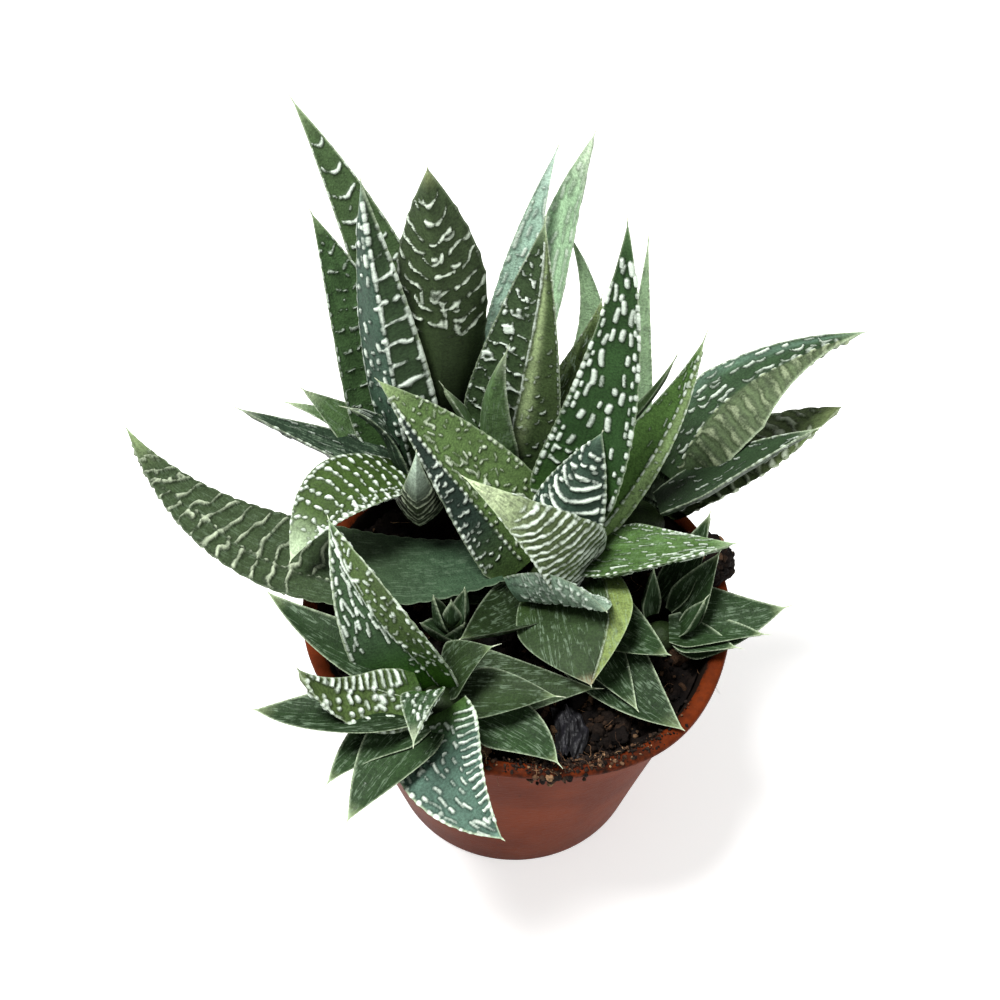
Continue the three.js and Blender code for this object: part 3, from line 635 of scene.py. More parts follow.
            ridges(pitch=1.75, piece=7, broken=0.05, sag=0.4, left=0.4, wide=0.46, wobble=0.2, start=0.06,
                   end=0.95)]),
    "crossDash": dict(
        body=0x465f52, base=0x324c18, baseReach=0.38, baseMix=0.9, tip=0x6c8c7c, tipFrom=0.9,
        line=(-0.15, -0.35, -0.4), ridge=-0.14, rim=1.0, rimWide=0.5, coarse=0.75,
        edge=dict(pitch=1.5, wide=0.36), edgePush=0.2, marks=[
            ridges(pitch=1.9, piece=6, broken=0.1, sag=-0.6, slant=-0.55, right=-0.42, wide=0.34,
                   wobble=0.3, start=0.05, end=0.9),
            dashes(columns=5, left=-0.3, pitch=2.3, wide=0.34, end=0.92, lean=0.25, bend=0.1, kept=0.7,
                   power=0.85),
            hooks(left=0.0, right=0.85, start=0.08, end=0.5, pitch=2.2, size=1.0, kept=0.7)]),
    "raisedNet": dict(
        body=0x334129, base=0x2d4331, baseReach=0.5, tip=0x8ca070, tipFrom=0.86, tipMix=0.8, relief=2.0,
        lobes=0.5, lobePitch=3.3, veins=0.25, chalk=0.35, rim=0.3,
        edge=dict(pitch=1.65, long=0.9, wide=0.3, start=0.4, end=0.97, power=0.5), edgePush=0.1,
        coarse=1.2, marks=[
            ridges(pitch=4.1, piece=9, broken=0.12, sag=-0.5, line=-0.72, wide=0.4, wobble=1.0, patch=6,
                   start=0.36, left=-0.42, right=0.9, power=0.85, knot=0.2),
            ridges(pitch=3.4, piece=6, broken=0.15, sag=-1.0, line=-0.72, wide=0.4, wobble=0.9, patch=3.5,
                   start=0.42, end=0.92, left=-0.98, right=-0.4, power=0.95, knot=0.2),
            seams(line=(-0.55, -0.4, 0.1), wide=0.3, pitch=1.8, long=0.9, start=0.3, end=0.72, power=0.8),
            dots(start=0.8, end=0.95, pitch=2.2, size=0.45, kept=0.8, power=0.8)]),
    "paleRidge": dict(
        body=0x5a6a42, base=0x2b3820, tip=0x748054, tipFrom=0.85, relief=1.6, lobes=0.7, lobePitch=3.6,
        chalk=0.5, rim=0.5, edge=None, marks=[
            ridges(pitch=3.8, piece=8, broken=0.12, sag=-2.6, wide=0.6, knot=0, wobble=0.9, start=0.15,
                   end=0.85, power=0.85),
            dots(kept=0.3, size=0.4, power=0.7)]),
    "whiteScallop": dict(
        body=0x2b3f27, other=0x4f5e40, strip=0x4a6250, stripAt=-0.95, stripWide=0.24, base=0x26381e,
        tip=0x7c9272, tipFrom=0.85, relief=1.2, ridge=0.16, line=(0.1, 0.12, 0.85), chalk=0.9,
        chalkBeyond=0.15, rim=0.8, rimWide=0.7, lobes=0.12, lobePitch=3.4,
        edge=dict(pitch=2.0, long=1.4, wide=0.4, sides=(-1,)), marks=[
            seams(wide=0.34, pitch=3.0, long=1.3, kept=0.7),
            hooks(right=0.18, pitch=3.1, size=1.3, wide=0.35, turn=1.2, power=0.95, kept=0.82, start=0.08,
                  end=0.85),
            ridges(pitch=3.4, piece=14, broken=0.06, sag=-0.6, slant=-0.12, wide=0.75, knot=0, wobble=0.6,
                   left=0.1, end=0.9, power=0.64)]),
    "darkHook": dict(
        body=0x283a24, base=0x1f2f1a, tip=0x8c9c80, tipFrom=0.86, rim=0.8, rimWide=0.5, lobes=0.15,
        lobePitch=3.2, edge=dict(long=1.3, wide=0.24, power=0.7), edgePush=0.16, coarse=0.95, marks=[
            hooks(pitch=3.0, size=1.0, wide=0.26, turn=1.3, kept=0.55, power=0.72),
            dashes(columns=3, left=0.3, right=0.8, long=1.8, wide=0.22, kept=0.45, power=0.75)]),
    "bud": dict(
        body=0x33482e, base=0x2f5216, tip=0xb4bea0, tipFrom=0.75, veins=0.6, coarse=0.9, rim=0.8, marks=[
            dashes(pitch=2.2, long=2.0, wide=0.28)]),
}


# tip is measured from the middle of the pot's underside, and root from the rosette's heart
def blade(look, tip, root, width, **rest):
    return dict(look=look, tip=tip, root=root, width=width, **rest)


rosettes = {
    "mother_rosette": dict(heart=(9, 4, 66), stem=5, core=7, leaves=[
        blade("tallDash", (19, 20, 138), (-2, 6, 2), 18.5, bow=-2, sway=3.5, roll=-4, widest=0.2,
              point=1.4, heel=0.7),
        blade("beadedRidge", (36, 21, 112), (1, 7, 3), 16, thick=5, bow=-4, sway=3, roll=25, widest=0.1,
              point=1.2, keel=-0.3, hair=4),
        blade("oliveFacet", (-27.6, 20.5, 102), (-5, 2, 0), 23, thick=6, bow=1, sway=1.5, roll=-26,
              widest=0.1, point=1.6, keel=0.2, hair=1),
        blade("smileArc", (17, 14, 94), (-2, 1, 1), 16, thick=5, roll=182, widest=0.35, point=1.5),
        blade("tightBand", (-10, -3, 98), (6, -3, 0), 17, thick=6, bow=8, roll=-75, crest=0.45, hair=1),
        blade("longStreak", (42.7, -4, 81), (6, 1, 3), 18, bow=2, sway=3, roll=-15),
        blade("dotted", (17, -17, 76), (-8, -6, 0), 15, bow=3, roll=-20, widest=0.4, point=2, crest=0.75,
              hair=0.5),
        blade("shadyLeaf", (-11, -19, 70), (-4, -5, -3), 14, cup=0.4, hair=1, shade=0.7),
        blade("foldedLeaf", (14, -27, 66), (2, -6, -1), 24, thick=5, bow=3, roll=12, widest=0.4, point=1.8,
              heel=0.9, keel=0.3, hair=0.6),
        blade("smooth", (29, -22, 69), (4, -6, -4), 14, bow=-2, roll=12, point=1.4, hair=1),
        blade("smooth", (31, -35, 63), (3, -8, -6), 17, thick=3, sway=2, roll=14, widest=0.3, point=1.6,
              hair=0.6, shade=0.75),
        blade("smooth", (23, -30, 62), (2, -7, -6), 14, thick=3, hair=0.6, shade=0.8),
        blade("raisedNet", (-84, 28, 83), (-14, 2, -1), 24, thick=6, bow=-4, sway=-15, roll=8, widest=0.4,
              point=1.6, heel=0.6, cup=0, taper=0.3, hair=1),
        blade("shadyLeaf", (-34, -1, 63), (-8, 0, -5), 12, thick=3),
    ]),
    "back_left_rosette": dict(heart=(-19.5, 26, 74), stem=4, core=6.5, leaves=[
        blade("tallBar", (-46, 67, 138), (3.5, 8, 1), 16, sway=3, roll=-3, point=1.5),
        blade("backBar", (-30, 41, 134), (-1.5, 1, 0), 15, thick=5, sway=1, roll=128, point=1.75,
              keel=-0.2),
        blade("tallFaint", (-42, 50, 122), (-5.5, 4, 0), 19, sway=1.5, roll=-13, widest=0.2, point=1.45),
        blade("backBand", (-17, 39, 138), (3.5, 6, 3), 18.5, thick=6, bow=3, sway=-1, roll=188, widest=0.6,
              point=1.6, heel=0.45, hair=0.8),
        blade("slimBlue", (-56, 19, 96), (-5.5, 0, -1), 10.5, roll=-3, point=1.2),
        blade("slim", (-45, 30, 92), (-6.5, 3, -2), 14, roll=-14, point=1.2),
        blade("slim", (-50, 33, 86), (-5.5, 3, -5), 9, thick=3, bow=2, sway=1.5, point=1.2),
        blade("slimBlue", (-35, 24, 92), (-3.5, -3, 1), 9, thick=3, bow=3, sway=1),
        blade("curledBand", (-45, -5, 77), (-1.5, -4, 0), 16, thick=5, bow=8, sway=3, roll=-10, widest=0.4,
              point=1.8, crest=0.6, hair=1),
        blade("fineBand", (-20, 10.5, 92), (-0.5, -5.5, -3), 11, thick=5, bow=-5, hair=0.6),
        blade("shadyLeaf", (-32, 62, 76), (-3, 5, -6), 14, bow=4),
        blade("shadyLeaf", (-14, 64, 78), (2, 5, -6), 15, bow=4),
    ]),
    "back_rosette": dict(heart=(2, 29, 72), stem=4, core=6.5, leaves=[
        blade("blueStreak", (8, 54, 134), (-4, 4, 0), 13.5, sway=-3.5, roll=4, point=1.15),
        blade("paleStreak", (15, 52, 138), (-1, 4, 1), 13, sway=-4.5, roll=-28, widest=0.5, point=1.7,
              heel=0.8),
        blade("backSquiggle", (5, 30, 132), (-5, -5, 2), 22, thick=5, roll=175, keel=-0.4),
        blade("smoothPale", (11, 48, 118), (3, 4, 0), 11, bow=-2, sway=8),
        blade("oliveStreak", (17, 34, 112), (3, 2, 0), 17, bow=2, sway=3, roll=40),
        blade("slim", (-2, 25, 106), (-4, -4, 2), 10, bow=-1, sway=2, roll=8, point=1.2),
        blade("shadyLeaf", (33, 31, 100), (4, 0, 0), 7, thick=3, bow=-2, sway=4, point=1.1),
        blade("slim", (-15, 27, 95), (-2, -4, -1), 12, thick=3, sway=0.5, roll=-5, point=1.4),
        blade("slim", (-12.5, 37, 88), (-2, -2, -1), 11, sway=2),
        blade("shadyLeaf", (1, 66, 76), (-1, 4, -6), 14, bow=4),
        blade("shadyLeaf", (20, 62, 76), (3, 3, -5), 14, bow=4),
    ]),
    "right_rosette": dict(heart=(27, 18, 68), stem=4, core=6, leaves=[
        blade("smoothPale", (26.5, 43, 120), (-2, 5, 2), 7, thick=3, widest=0.4, point=1),
        blade("whiteScallop", (75, 42, 98), (8, 5, 4), 23, thick=7, bow=6.5, sway=-3, roll=-6, widest=0.4,
              point=0.9, cup=0),
        blade("paleRidge", (72, 36, 82), (6, 3, -1), 22, thick=6, sway=-3, roll=-18, widest=0.4, point=2,
              cup=0, hair=0.5),
        blade("darkHook", (59.5, 14.5, 94.5), (3, -3, 5), 13.5, sway=-2, roll=-5, widest=0.3, heel=0.7),
        blade("shadyLeaf", (40, 50, 76), (3, 5, -4), 13, bow=4),
        blade("shadyLeaf", (54, 48, 74), (5, 4, -2), 12, bow=3),
    ]),
    "front_left_rosette": dict(heart=(-14.5, -29, 65), stem=4, core=6, leaves=[
        blade("valleyDash", (-35, -10, 94), (-3.5, 1, -2), 18.5, thick=5, bow=6, sway=2, roll=-62,
              widest=0.2, point=1.7, heel=0.85, keel=0.2, hair=1),
        blade("arcDot", (-39, -35, 82), (-3.5, 0, 2), 12.5, thick=5, bow=-3, sway=-3, roll=-17, point=1.4,
              hair=1),
        blade("crossDash", (-3, -60, 68), (-1.5, -4, 2), 18, bow=2, sway=3, roll=35, widest=0.2, point=1.7,
              heel=0.8, hair=0.6),
        blade("smooth", (-49, -34, 68), (-5.5, -1, 0), 13, bow=4, sway=-5, roll=10, widest=0.35, point=1.6,
              shade=0.72),
        blade("smooth", (-34, -48.5, 66.5), (-3.5, -4, 0.5), 12, thick=3, sway=2),
        blade("smooth", (-30, -55, 65), (-3.5, -5, 0), 14, thick=3, bow=2, roll=8, point=1.5),
        blade("smooth", (-48, -14, 78), (-3.5, 4, 1), 12, bow=2, sway=-3, roll=4, point=1.5, shade=0.82),
        blade("bud", (-18, -49, 80), (-2.5, -1, 4), 8, thick=3, bow=2.5, roll=20, point=1.4, hair=1),
        blade("shadyLeaf", (-5, -24, 74), (0.5, 4, 0), 12, thick=3, bow=2, roll=-16, point=1.4),
        blade("shadyLeaf", (7, -31, 68), (3.5, 1, 0), 12, bow=0.5, roll=-6),
        blade("smooth", (7, -44, 66), (5.5, -2, -1), 12, bow=-1.5, sway=-2, widest=0.3, point=1.4),
        blade("shadyLeaf", (15, -25, 62), (2.5, 4, -3), 15, thick=3, bow=1, roll=10, point=1),
    ]),
    "right_pup": dict(heart=(30, -10, 62), stem=2.5, core=3.5, leaves=[
        blade("smooth", (53, -12, 71), (3, 1, 1), 16, sway=1, roll=16, widest=0.2),
        blade("smooth", (48, -17.5, 69.5), (1, -1, 1), 10, thick=2.5, bow=-1.2, sway=-1.5, widest=0.2),
        blade("smooth", (43, -18, 66), (3, -2, 0.5), 9, thick=2.5),
        blade("smooth", (38.4, 2.4, 82.5), (0.5, 7, 0), 10, thick=3, bow=-1, roll=-33, point=1.4),
        blade("smooth", (40, -4, 78), (3, 2, 0), 10, thick=3),
        blade("smooth", (37, -11, 72), (3, -1, 1), 6, thick=2.5),
        blade("smooth", (28, -2, 71), (-2, 3, 0), 6, thick=2.5, roll=30),
    ]),
    "tiny_pup": dict(heart=(-13, -10, 64.5), stem=1.6, core=1.6, leaves=[
        blade("smooth", (-10.5, -8.5, 72.5), (0.5, -0.2, -1.5), 6, thick=2.5, hair=0.6),
        blade("smooth", (-16.5, -10, 72), (-0.5, -0.2, -1.5), 6, thick=2.5, hair=0.6),
        blade("smooth", (-19, -14, 68.5), (-0.5, -0.5, -3), 7, thick=2.5, hair=0.6),
        blade("smooth", (-10.5, -14, 68.5), (0.5, -0.5, -3), 6, thick=2.5, hair=0.6),
        blade("smooth", (-13, -12, 73), (0, -1, 1), 4, thick=2, hair=0.6),
    ]),
}
print("leaf table read")


# halo is painted shade: the leaf's ground darkens around the foot of each raised mark
leafFinish = {"bead": 0xd2ded0, "beadWarm": 0x9aa67c, "rimColour": 0xb4c4a4, "vein": 0x7c9078,
              "roughness": 0.5, "gloss": 0.12, "streak": 0.24, "mottle": 0.35, "speck": 0.26, "markFootShade": 0.36,
              "streakScale": (1.1, 0.09, 1), "mottleScale": 0.55, "grainScale": 4.5, "speckScale": 2.1,
              "veinScale": (0.85, 0.085, 1), "toothStretch": (0.3, 1, 1), "toothScale": 2.2,
              "fineScale": 2.4, "bumpDepth": 0.0003}


def leafMaterial():
    bench = Bench("leaf")
    place = bench.held("place", 1)
    colour = bench.held("colour", 0)
    wart, rim, veins, chalk = bench.held("wart"), bench.held("rim"), bench.held("veins"), bench.held("chalk")
    streaks = bench.noise(bench.stretched(place, leafFinish["streakScale"]), 1.0, 3)
    mottle = bench.noise(place, leafFinish["mottleScale"], 4, 0.6)
    grain = bench.noise(place, leafFinish["grainScale"], 2)
    speck = bench.between(bench.noise(place, leafFinish["speckScale"], 3, 0.7), 0.32, 0.68)
    level = (streaks - 0.5) * (2 * leafFinish["streak"]) + (mottle - 0.5) * (2 * leafFinish["mottle"]) + 1.0
    level = level + (speck - 0.5) * (2 * leafFinish["speck"])
    # painted shade around the foot of each raised mark
    level = level * (1 - bench.between(wart, 0.0, 0.35) * leafFinish["markFootShade"])
    colour = bench.lit(colour, level)
    net = bench.noise(bench.stretched(place, leafFinish["veinScale"]), 1.0, 3, 0.6)
    lines = bench.between(net * (1 - net) * 4, 0.9955, 0.99995)
    veined = lines * veins * bench.between(mottle, 0.38, 0.6) * 0.75
    colour = bench.blend(colour, paint(leafFinish["vein"]), veined)
    drawnOut = bench.stretched(place, leafFinish["toothStretch"])
    teeth = bench.between(bench.noise(drawnOut, leafFinish["toothScale"], 1), 0.35, 0.6)
    colour = bench.blend(colour, paint(leafFinish["rimColour"]), rim * (teeth * 0.5 + 0.5) * 0.8)
    bead = bench.blend(paint(leafFinish["beadWarm"]), paint(leafFinish["bead"]), chalk)
    mask = bench.between(wart + (speck - 0.5) * 0.14, 0.34, 0.95)
    colour = bench.blend(colour, bead, mask * (grain * 0.3 + 0.8))
    rough = 0.05 * grain + (leafFinish["roughness"] - 0.05 * mask)
    fine = bench.noise(place, leafFinish["fineScale"], 3)
    return bench.finish(Base_Color=colour, Roughness=rough, Specular_IOR_Level=leafFinish["gloss"],
                        Normal=bench.bumped(fine + grain * 0.4 + mask * 0.8, 0.6, leafFinish["bumpDepth"]))


leafSkin = leafMaterial()


crown = {"sides": 24, "foot": 46, "neck": 49, "top": 57.5, "shoulder": 60.5, "greenFrom": 55,
         "brown": 0x241a14, "green": 0x1f2c14}


def stemPatch(heart, stem, core):  # the short stem under a rosette, from inside the soil up to its heart
    x, y, z = heart
    profile = [(stem * 0.8, crown["foot"]), (stem, crown["neck"]), (stem, crown["top"]),
               (core, min(crown["shoulder"], z - core)), (core, z - core * 0.6),
               (core * 0.6, z - core * 0.1), (0.05, z)]
    turn = np.linspace(0, 2 * math.pi, crown["sides"] + 1)
    points = np.array([[(x + r * math.cos(a), y + r * math.sin(a), h) for a in turn] for r, h in profile])
    fade = np.repeat(soft(np.array([h for _, h in profile]), crown["greenFrom"], z), len(turn))[:, None]
    colour = paint(crown["brown"]) * (1 - fade) + paint(crown["green"]) * fade
    zero = np.zeros(len(colour))
    return patch(points, sheetFaces(len(profile), len(turn)), colour=colour, wart=zero, rim=zero,
                 veins=zero, chalk=zero + 1)


for order, (name, rosette) in enumerate(rosettes.items()):
    patches = [stemPatch(rosette["heart"], rosette["stem"], rosette["core"])]
    for number, row in enumerate(rosette["leaves"]):
        patches += leafPatches(rosette["heart"], row, leafLooks, 100 * order + number)
    plant = makeObject(name.replace("_rosette", "Leaves").replace("_pup", "PupLeaves"), patches, leafSkin)
    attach(plant, "root")
    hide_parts(name)
print("leaves grown")


pot = {"height": 61.5, "rim": 45.0, "base": 29.5, "wall": 1.2, "lip": 2.4, "lipThick": 1.4, "dent": 1.5,
       "bulge": 2.0, "dentAt": -97, "bulgeAt": -52, "spread": 22, "sides": 240, "holes": 6,
       "holeRadius": 2.8, "holeCircle": 21, "holeSides": 48, "ring": 25, "disc": 8, "discSides": 60,
       "colour": 0x61280f, "dark": 0x4e1c07, "speck": 0x2a120a, "soilMark": 0x150f0b, "markAt": -75,
       "markSpread": 22, "roughness": 0.5, "gloss": 0.04, "cloudScale": 0.05, "fineScale": 0.9,
       "dustScale": 0.35, "markScale": 0.5, "scratchScale": (0.25, 0.25, 2.5), "bumpDepth": 0.0002}
wallTop = pot["rim"] - pot["lip"]


def wallRadius(z):
    return pot["base"] + (wallTop - pot["base"]) * z / (pot["height"] - pot["lipThick"])


def squeeze(angle, z):  # how far the wall stands out of round, towards the dent and the bulge
    def near(centre):
        turn = np.degrees(angle) - centre
        turn = (turn + 180) % 360 - 180
        return np.exp(-(turn / pot["spread"]) ** 2)
    push = pot["bulge"] * near(pot["bulgeAt"]) - pot["dent"] * near(pot["dentAt"])
    return (z / pot["height"]) ** 2 * push


def potMaterial():
    bench = Bench("potPlastic")
    place = bench.held("place", 1)
    cloudy = bench.noise(place, pot["cloudScale"], 4, 0.6)
    fine = bench.noise(place, pot["fineScale"], 4, 0.7)
    shade = bench.between(cloudy + fine * 0.3 - 0.15, 0.3, 0.7)
    colour = bench.blend(paint(pot["dark"]), paint(pot["colour"]), shade)
    dust = bench.noise(place, pot["dustScale"], 5, 0.7)
    colour = bench.blend(colour, paint(pot["speck"]), bench.between(dust, 0.64, 0.74) * 0.7)
    held = bench.held("soiled")
    soiled = held * bench.between(bench.noise(place, pot["markScale"], 4, 0.7), 0.35, 0.65)
    soiled = soiled + bench.between(held, 1.0, 1.5)
    colour = bench.blend(colour, paint(pot["soilMark"]), soiled)
    scratch = bench.noise(bench.stretched(place, pot["scratchScale"]), 1.0, 3)
    rough = fine * 0.2 + soiled * 0.3 + (pot["roughness"] - 0.1)
    return bench.finish(Base_Color=colour, Roughness=rough, Specular_IOR_Level=pot["gloss"],
                        Normal=bench.bumped(scratch + fine, 0.25, pot["bumpDepth"]))


def ringOfRevolution(profile, sides, squeezed=True):
    turn = np.linspace(0, 2 * math.pi, sides + 1)
    radius, height = np.array(profile, float).T
    grown = radius[:, None] + np.zeros(sides + 1)
    if squeezed:
        grown = grown + squeeze(turn[None], height[:, None]) * radius[:, None] / pot["rim"]
    return np.stack([grown * np.cos(turn), grown * np.sin(turn), height[:, None] + 0 * grown], -1)


def potProfile():  # from the underside outwards, up the wall, over the lip and down inside
    top, rim, wall = pot["height"], pot["rim"], pot["wall"]
    under = top - pot["lipThick"]
    foot = [(r, 0.0) for r in np.linspace(pot["ring"], pot["base"] - 1.0, 4)]
    foot += [(pot["base"] - 0.45, 0.12), (wallRadius(0.5) - 0.05, 0.45), (wallRadius(1.0), 1.0)]
    outside = [(wallRadius(z), z) for z in np.linspace(3, under - 2.0, 30)]
    outside += [(wallRadius(under) + 0.1, under - 1.2), (wallRadius(under) + 0.6, under - 0.75)]
    lip = [(rim - 1.0, under - 0.5), (rim - 0.35, under - 0.35), (rim - 0.05, under + 0.05),
           (rim, under + 0.45), (rim - 0.05, under + 0.9), (rim - 0.35, top - 0.08), (rim - 0.8, top),
           (wallTop + 0.5, top), (wallTop - 0.1, top - 0.2), (wallRadius(under) - wall + 0.1, top - 1.1)]
    inside = [(wallRadius(z) - wall, z) for z in np.linspace(under - 1, 2.0, 20)]
    inside += [(wallRadius(wall) - wall - 0.3, wall), (pot["ring"], wall)]
    return foot + outside + lip + inside


def wallPatch():  # soiled most at the front of the rim, and all over inside
    points = ringOfRevolution(potProfile(), pot["sides"])
    rows, columns, _ = points.shape
    angle = np.arctan2(points[..., 1], points[..., 0]).ravel()
    front = np.exp(-((np.degrees(angle) - pot["markAt"]) / pot["markSpread"]) ** 2)
    soiled = soft(points[..., 2].ravel(), 55, 61) * (0.25 + 0.75 * front)
    crest = int(np.argmax(points[:, 0, 2]))
    soiled = soiled + 1.5 * np.repeat(np.arange(rows) > crest + 2, columns)
    return patch(points, sheetFaces(rows, columns, True), soiled=soiled)


def floorPatch(points, flip=False):
    rows, columns, _ = points.shape
    return patch(points, sheetFaces(rows, columns, flip), soiled=np.zeros(rows * columns))


def sectorEdge(centre, turn, middle, step):  # the sector's outline, met by rays from the hole's centre
    edge = []
    for a in turn:
        away = np.array([math.cos(a + middle), math.sin(a + middle)])
        low, high = 0.0, 40.0
        for _ in range(30):
            reach = (low + high) / 2
            x, y = centre + away * reach
            r, t = math.hypot(x, y), math.atan2(y, x) - middle
            t = (t + math.pi) % (2 * math.pi) - math.pi
            inside = pot["disc"] < r < pot["ring"] and abs(t) < step / 2
            low, high = (reach, high) if inside else (low, reach)
        edge.append(centre + away * low)
    return np.array(edge)


def holeSector(middle, step):  # the floor around one drainage hole, below and above, and the hole's wall
    turn = np.linspace(0, 2 * math.pi, pot["holeSides"] + 1)
    centre = pot["holeCircle"] * np.array([math.cos(middle), math.sin(middle)])
    ring = centre + pot["holeRadius"] * np.stack([np.cos(turn + middle), np.sin(turn + middle)], -1)
    edge = sectorEdge(centre, turn, middle, step)
    rings = [ring * (1 - share) + edge * share for share in (0, 0.5, 1)]
    patches = []
    for z, flip in ((0.0, True), (pot["wall"], False)):
        flat = np.array([[(x, y, z) for x, y in line] for line in rings])
        patches.append(floorPatch(flat, flip))
    wall = np.array([[(x, y, h) for x, y in ring] for h in (0, pot["wall"])])
    return patches + [floorPatch(wall)]


def potPatches():  # the floor is a ring of sectors around the drainage holes, and a disc in the middle
    step = 2 * math.pi / pot["holes"]
    patches = [wallPatch()]
    for i in range(pot["holes"]):
        patches += holeSector((i + 0.5) * step, step)
    for z, flip in ((0.0, False), (pot["wall"], True)):
        rings = [(0.02, z), (pot["disc"] / 2, z), (pot["disc"], z)]
        patches.append(floorPatch(ringOfRevolution(rings, pot["discSides"], False), flip))
    return patches


potShell = makeObject("potShell", potPatches(), potMaterial())
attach(potShell, "root")
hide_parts("pot")
print("pot turned")


soil = {"level": 55.0, "bank": 2.5, "lump": 0.5, "gap": 0.3, "reach": 42, "pitch": 0.74, "crumbs": 2700,
        "clumps": 64, "fibres": 170, "rimFibres": 36, "spill": 760, "spillAt": -74, "hanging": 46,
        "hangingAt": -82, "overRim": 41.6, "clod": (39.5, 7.0, 62.5), "clodSize": (8.0, 7.0, 8.0),
        "clodCrumbs": 420, "dark": 0x0c0908, "light": 0x1c140f, "under": 0x1b1411, "clodColour": 0x120c09,
        "fibreColours": [0x5f4733, 0x8a6f52, 0x3a2a20], "fibreReach": 41, "rimFibreBand": (39.5, 43),
        "spillBand": (40.5, 44.6), "clodLimit": 46.6, "coarseScale": 0.5, "fineScale": 2.4,
        "roughness": 0.85, "gloss": 0.1, "bumpDepth": 0.0006}
# the crumbs' colours, each with its share
soilColours = [(0x0f0b09, 0.3), (0x17110d, 0.26), (0x221811, 0.2), (0x38281c, 0.13), (0x5a4532, 0.06),
               (0x080706, 0.05)]


def soilTop(x, y):
    bank = soil["bank"] * (np.hypot(x, y) / wallTop) ** 6
    lump = soil["lump"] * (np.sin(0.71 * x + 1.3) * np.cos(0.63 * y) + np.sin(1.7 * x - 1.1 * y))
    return soil["level"] + bank + lump


def soilMaterial():
    bench = Bench("peat")
    place = bench.held("place", 1)
    coarse = bench.noise(place, soil["coarseScale"], 5, 0.7)
    fine = bench.noise(place, soil["fineScale"], 4, 0.7)
    level = (coarse - 0.5) * 3.0 + (fine - 0.5) * 2.6 + 1.05
    colour = bench.lit(bench.held("colour", 0), level)
    return bench.finish(Base_Color=colour, Roughness=0.1 * fine + soil["roughness"],
                        Specular_IOR_Level=soil["gloss"],
                        Normal=bench.bumped(coarse + fine, 0.8, soil["bumpDepth"]))


def icoBall():  # a ball of twenty triangles
    g = (1 + 5 ** 0.5) / 2
    base = unit(np.array([(-1, g, 0), (1, g, 0), (-1, -g, 0), (1, -g, 0), (0, -1, g), (0, 1, g), (0, -1, -g),
                          (0, 1, -g), (g, 0, -1), (g, 0, 1), (-g, 0, -1), (-g, 0, 1)], float))
    faces = np.array([(0, 11, 5), (0, 5, 1), (0, 1, 7), (0, 7, 10), (0, 10, 11), (1, 5, 9), (5, 11, 4),
                      (11, 10, 2), (10, 7, 6), (7, 1, 8), (3, 9, 4), (3, 4, 2), (3, 2, 6), (3, 6, 8),
                      (3, 8, 9), (4, 9, 5), (2, 4, 11), (6, 2, 10), (8, 6, 7), (9, 8, 1)])
    return base, faces


def split(points, faces):  # each triangle into four, on the unit ball
    middles, made, points = {}, [], list(points)

    def middle(a, b):
        key = (min(a, b), max(a, b))
        if key not in middles:
            middles[key] = len(points)
            points.append(unit(points[a] + points[b]))
        return middles[key]
    for a, b, c in faces:
        ab, bc, ca = middle(a, b), middle(b, c), middle(c, a)
        made += [(a, ab, ca), (b, bc, ab), (c, ca, bc), (ab, bc, ca)]
    return np.array(points), np.array(made)


def fineBall(splits):
    ball, faces = icoBall()
    for _ in range(splits):
        ball, faces = split(ball, faces)
    return ball, faces


def crumbPatch(centres, sizes, rng, splits=0, lighter=1.0):
    ball, faces = fineBall(splits)
    count, corners = len(centres), len(ball)
    turn = rng.normal(size=(count, 3, 3))
    turn, _ = np.linalg.qr(turn)
    stretch = rng.uniform(0.55, 1.35, (count, 1, 3))
    bumps = rng.uniform(0.72, 1.25, (count, corners, 1))
    points = (ball[None] * stretch * bumps) @ turn * sizes[:, None, None] + centres[:, None]
    shares = np.array([share for _, share in soilColours])
    picks = rng.choice(len(soilColours), count, p=shares / shares.sum())
    colour = np.array([paint(code) for code, _ in soilColours])[picks]
    colour = np.repeat(colour * lighter * rng.uniform(0.6, 1.4, (count, 1)), corners, 0)
    faces = (faces[None] + (np.arange(count) * corners)[:, None, None]).reshape(-1, 3)
    return patch(points, faces, colour=np.clip(colour, 0, 1))


def fibrePatch(start, rng, length, radius, steps=8):
    heading = rng.uniform(0, 2 * math.pi)
    line = [np.array(start, float)]
    for _ in range(steps):
        heading += rng.uniform(-0.7, 0.7)
        ahead = np.array([math.cos(heading), math.sin(heading), rng.uniform(-0.15, 0.2)])
        line.append(line[-1] + ahead * length / steps)
    line = np.array(line)
    along = unit(np.gradient(line, axis=0))
    side = unit(np.cross(along, (0.1, 0.2, 1)))
    up = np.cross(side, along)
    turn = np.linspace(0, 2 * math.pi, 5)
    thin = radius * np.linspace(1, 0.4, len(line))
    points = (line[:, None] + side[:, None] * (np.cos(turn) * thin[:, None])[..., None]
              + up[:, None] * (np.sin(turn) * thin[:, None])[..., None])
    tone = paint(rng.choice(soil["fibreColours"]))
    return patch(points, sheetFaces(len(line), len(turn)), colour=np.tile(tone, (len(line) * len(turn), 1)))


def around(angle, radius, height):  # points at an angle and a radius about the pot's axis
    return np.stack([radius * np.cos(angle), radius * np.sin(angle), height], -1)


def onSoil(angle, radius, lift):  # the same, lifted above the soil's surface
    x, y = radius * np.cos(angle), radius * np.sin(angle)
    return np.stack([x, y, soilTop(x, y) + lift], -1)


def outOfRound(angle, z):  # how much wider than round the pot is at that angle and height
    return 1 + squeeze(angle, z) / pot["rim"]


